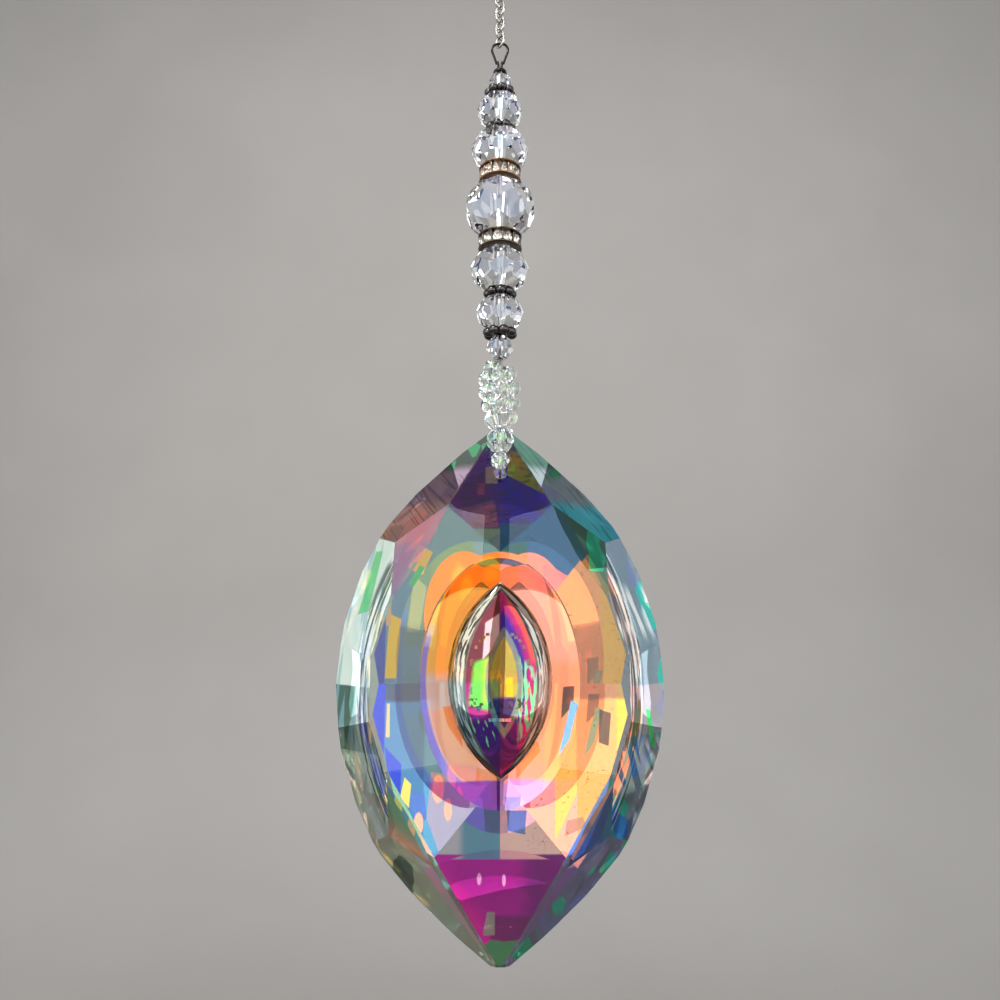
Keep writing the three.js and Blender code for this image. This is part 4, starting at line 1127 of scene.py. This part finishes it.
def paint_side_right(p):
    # painted glints: small turquoise and blue flashes of reflected light scattered over the facet
    p.lay(srgb(50, 215, 200), p.cells(430.0, turn=0.3).rise(0.90, 0.01))
    p.lay(srgb(50, 150, 250), p.cells(330.0, turn=-0.2).rise(0.91, 0.01))
    p.lay(srgb(215, 195, 200), p.z.between(-7.0, 0.4, 0.3), 0.7)
    # painted highlight: bright white-blue streaks on the facet's upper and lower parts
    p.lay((0.95, 0.99, 1.0), p.streaks(p.x * 0.7 + p.z * 0.25, p.z * 0.1, 1.0).rise(0.0, 0.06) * p.z.size().between(8.0, 15.0, 3.0))
    # painted glint: a bright green flash low on the facet
    p.lay(srgb(60, 245, 110), p.shape((23.2, -9.0), (24.0, -9.4), (23.0, -3.4), (22.2, -3.2)))
    # painted reflections along the rim: dark streaks and pure white highlight streaks
    edge = p.pointed(0.0, 0.0, CR_W / 2, CR_H / 2)
    s = p.streaks(edge * 2.6 + 9.0, p.z * 0.10, 2.0)
    p.lay(srgb(45, 55, 60), s.rise(0.05, 0.03) * edge.rise(3.6, 0.6), 0.85)
    p.lay((1.0, 1.0, 1.0), s.fall(-0.08, 0.04) * edge.rise(3.6, 0.6))


coat("front_side_left", (228, 240, 230), paint_side_left, metallic=0.4)
coat("front_side_right", (150, 168, 182), paint_side_right, metallic=0.35)


def coat_of(kind):
    if "_side" in kind:
        kind = kind.split("_")[0] + "_side_" + kind.split("_")[-1]
    if kind in ("dish", "eye"):
        kind = "front_" + kind
    return where.get(kind, 0)


index = [coat_of(k) for k in kinds]
crystal = piece("crystal_cut", [v + crystal_mid for v in verts], faces, mats, smooth=True, index=index, slot="crystal_iris",
                stands_for=["crystal"], normals=loop_normals)
crystal_counts = {}
for k in kinds:
    crystal_counts[k] = crystal_counts.get(k, 0) + 1
print("crystal faces", len(faces), {k: v for k, v in sorted(crystal_counts.items())})

# ---------------------------------------------------------------------------
# beads keep their cut solids and take the crystal's look
# ---------------------------------------------------------------------------
for node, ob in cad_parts.items():
    if ob.hide_render:
        continue
    if node.startswith("bead_") or node.startswith("loop_"):
        look = loop_glass if node.startswith("loop_") else bead_glass
        if not ob.data.materials:
            ob.data.materials.append(look)
        for i in range(len(ob.material_slots)):
            ob.material_slots[i].material = look

# ---------------------------------------------------------------------------
# stage, light and camera
# ---------------------------------------------------------------------------
def stage_material(name, a, b2):
    m, nt, b = new_material(name)
    tc = nt.nodes.new("ShaderNodeTexCoord")
    sep = nt.nodes.new("ShaderNodeSeparateXYZ")
    nt.links.new(tc.outputs["Object"], sep.inputs[0])
    x, y, z = (Field(nt, sep.outputs[i]) for i in range(3))
    # paler where the panels' light doesn't reach, so the floor looks even from every side
    far = (x * x + y * y + z * z).root().rise(2.5, 1.3)
    in_front = ((x + 0.64) * 0.58 + (y + 0.90) * 0.815).least((x - 0.62) * -0.546 + (y + 0.95) * 0.837)
    pale = far.most(in_front.fall(-0.02, 0.06)).most(x.size().rise(1.45, 0.66))
    mix = nt.nodes.new("ShaderNodeMix")
    mix.data_type = "RGBA"
    nt.links.new(pale.value, mix.inputs["Factor"])
    nt.links.new(ramp(nt, noise(nt, 3.0, 3.0), [(0.3, a), (0.7, b2)]), mix.inputs["A"])
    nt.links.new(ramp(nt, noise(nt, 2.0, 3.0), [(0.3, (0.86, 0.845, 0.83)), (0.7, (0.90, 0.885, 0.87))]), mix.inputs["B"])
    nt.links.new(mix.outputs["Result"], b.inputs["Base Color"])
    b.inputs["Roughness"].default_value = 0.9
    b.inputs["Specular IOR Level"].default_value = 0.2
    return m


def sweep():
    """Floor that curves up into a backdrop, pale and plain."""
    floor_z, wall_y, front_y, top_z, r = -0.62, 1.15, -30.0, 12.0, 0.45
    line = [(front_y, floor_z), (0.0, floor_z), (wall_y - r, floor_z)]
    for i in range(1, 13):
        a = math.pi / 2 * i / 12
        line.append((wall_y - r + r * math.sin(a), floor_z + r - r * math.cos(a)))
    line.append((wall_y, top_z))
    v, f = [], []
    for x in (-30.0, 30.0):
        for y, z in line:
            v.append((x, y, z))
    k = len(line)
    for i in range(k - 1):
        f.append([i, i + 1, k + i + 1, k + i])
    mesh = bpy.data.meshes.new("sweep")
    mesh.from_pydata(v, [], f)
    for p in mesh.polygons:
        p.use_smooth = True
    mesh.materials.append(stage_material("stage_pale", (0.335, 0.320, 0.305), (0.36, 0.344, 0.328)))
    ob = bpy.data.objects.new("sweep", mesh)
    scene.collection.objects.link(ob)


sweep()


def area(name, loc, aim, size, power, colour=(1, 1, 1)):
    data = bpy.data.lights.new(name, "AREA")
    data.shape = "RECTANGLE"
    data.size, data.size_y = size
    data.energy = power
    data.color = colour
    ob = bpy.data.objects.new(name, data)
    ob.location = loc
    ob.rotation_mode = "QUATERNION"
    ob.rotation_quaternion = (Vector(aim) - Vector(loc)).to_track_quat("-Z", "Y")
    scene.collection.objects.link(ob)
    ob.visible_camera = False
    return ob


mid = Vector((0, 0, crystal_mid.z * MM))
def panel(name, loc, aim, size, glow, colour=(1, 1, 1)):
    """Large soft light whose brightness is given as seen."""
    return area(name, loc, aim, size, glow * math.pi * size[0] * size[1], colour)


panel("left_window", (-0.64, -0.90, -0.12), mid, (1.3, 1.7), 2.0, (1.0, 0.99, 0.97))
panel("right_window", (0.62, -0.95, -0.28), mid, (1.4, 1.5), 1.55, (0.97, 0.99, 1.0))
panel("left_side", (-1.1, -0.05, -0.2), mid, (0.7, 0.9), 1.1, (0.97, 1.0, 0.99))
panel("right_side", (1.1, -0.05, -0.2), mid, (0.7, 0.9), 1.0, (0.94, 0.98, 1.0))
panel("over", (0.1, -0.15, 0.75), mid, (0.7, 0.5), 1.6, (0.98, 0.99, 1.0))
panel("spark", (-0.26, -0.46, 0.42), (0, 0, -0.12), (0.16, 0.16), 38.0)
panel("back_wash", (0.0, 0.25, 0.95), (0, 1.15, -0.3), (1.8, 0.4), 1.5)

world = bpy.data.worlds.new("studio")
world.use_nodes = True
world.node_tree.nodes["Background"].inputs[0].default_value = (0.60, 0.62, 0.65, 1)
world.node_tree.nodes["Background"].inputs[1].default_value = 0.9
scene.world = world

cam_data = bpy.data.cameras.new("camera")
cam_data.sensor_width = 36.0
cam_data.lens = 27.0
cam_data.clip_start = 0.005
cam = bpy.data.objects.new("camera", cam_data)
cam.location = (0.0, -0.122, (crystal_mid.z + 11.4) * MM)
tilt = math.radians(8.5)
cam.rotation_mode = "QUATERNION"
cam.rotation_quaternion = Vector((0, math.cos(tilt), math.sin(tilt))).to_track_quat("-Z", "Y")
scene.collection.objects.link(cam)
scene.camera = cam

scene.view_settings.view_transform = "Standard"
scene.view_settings.look = "Medium High Contrast"
scene.cycles.max_bounces = 24
scene.cycles.transmission_bounces = 20
scene.cycles.glossy_bounces = 8
scene.cycles.transparent_max_bounces = 16
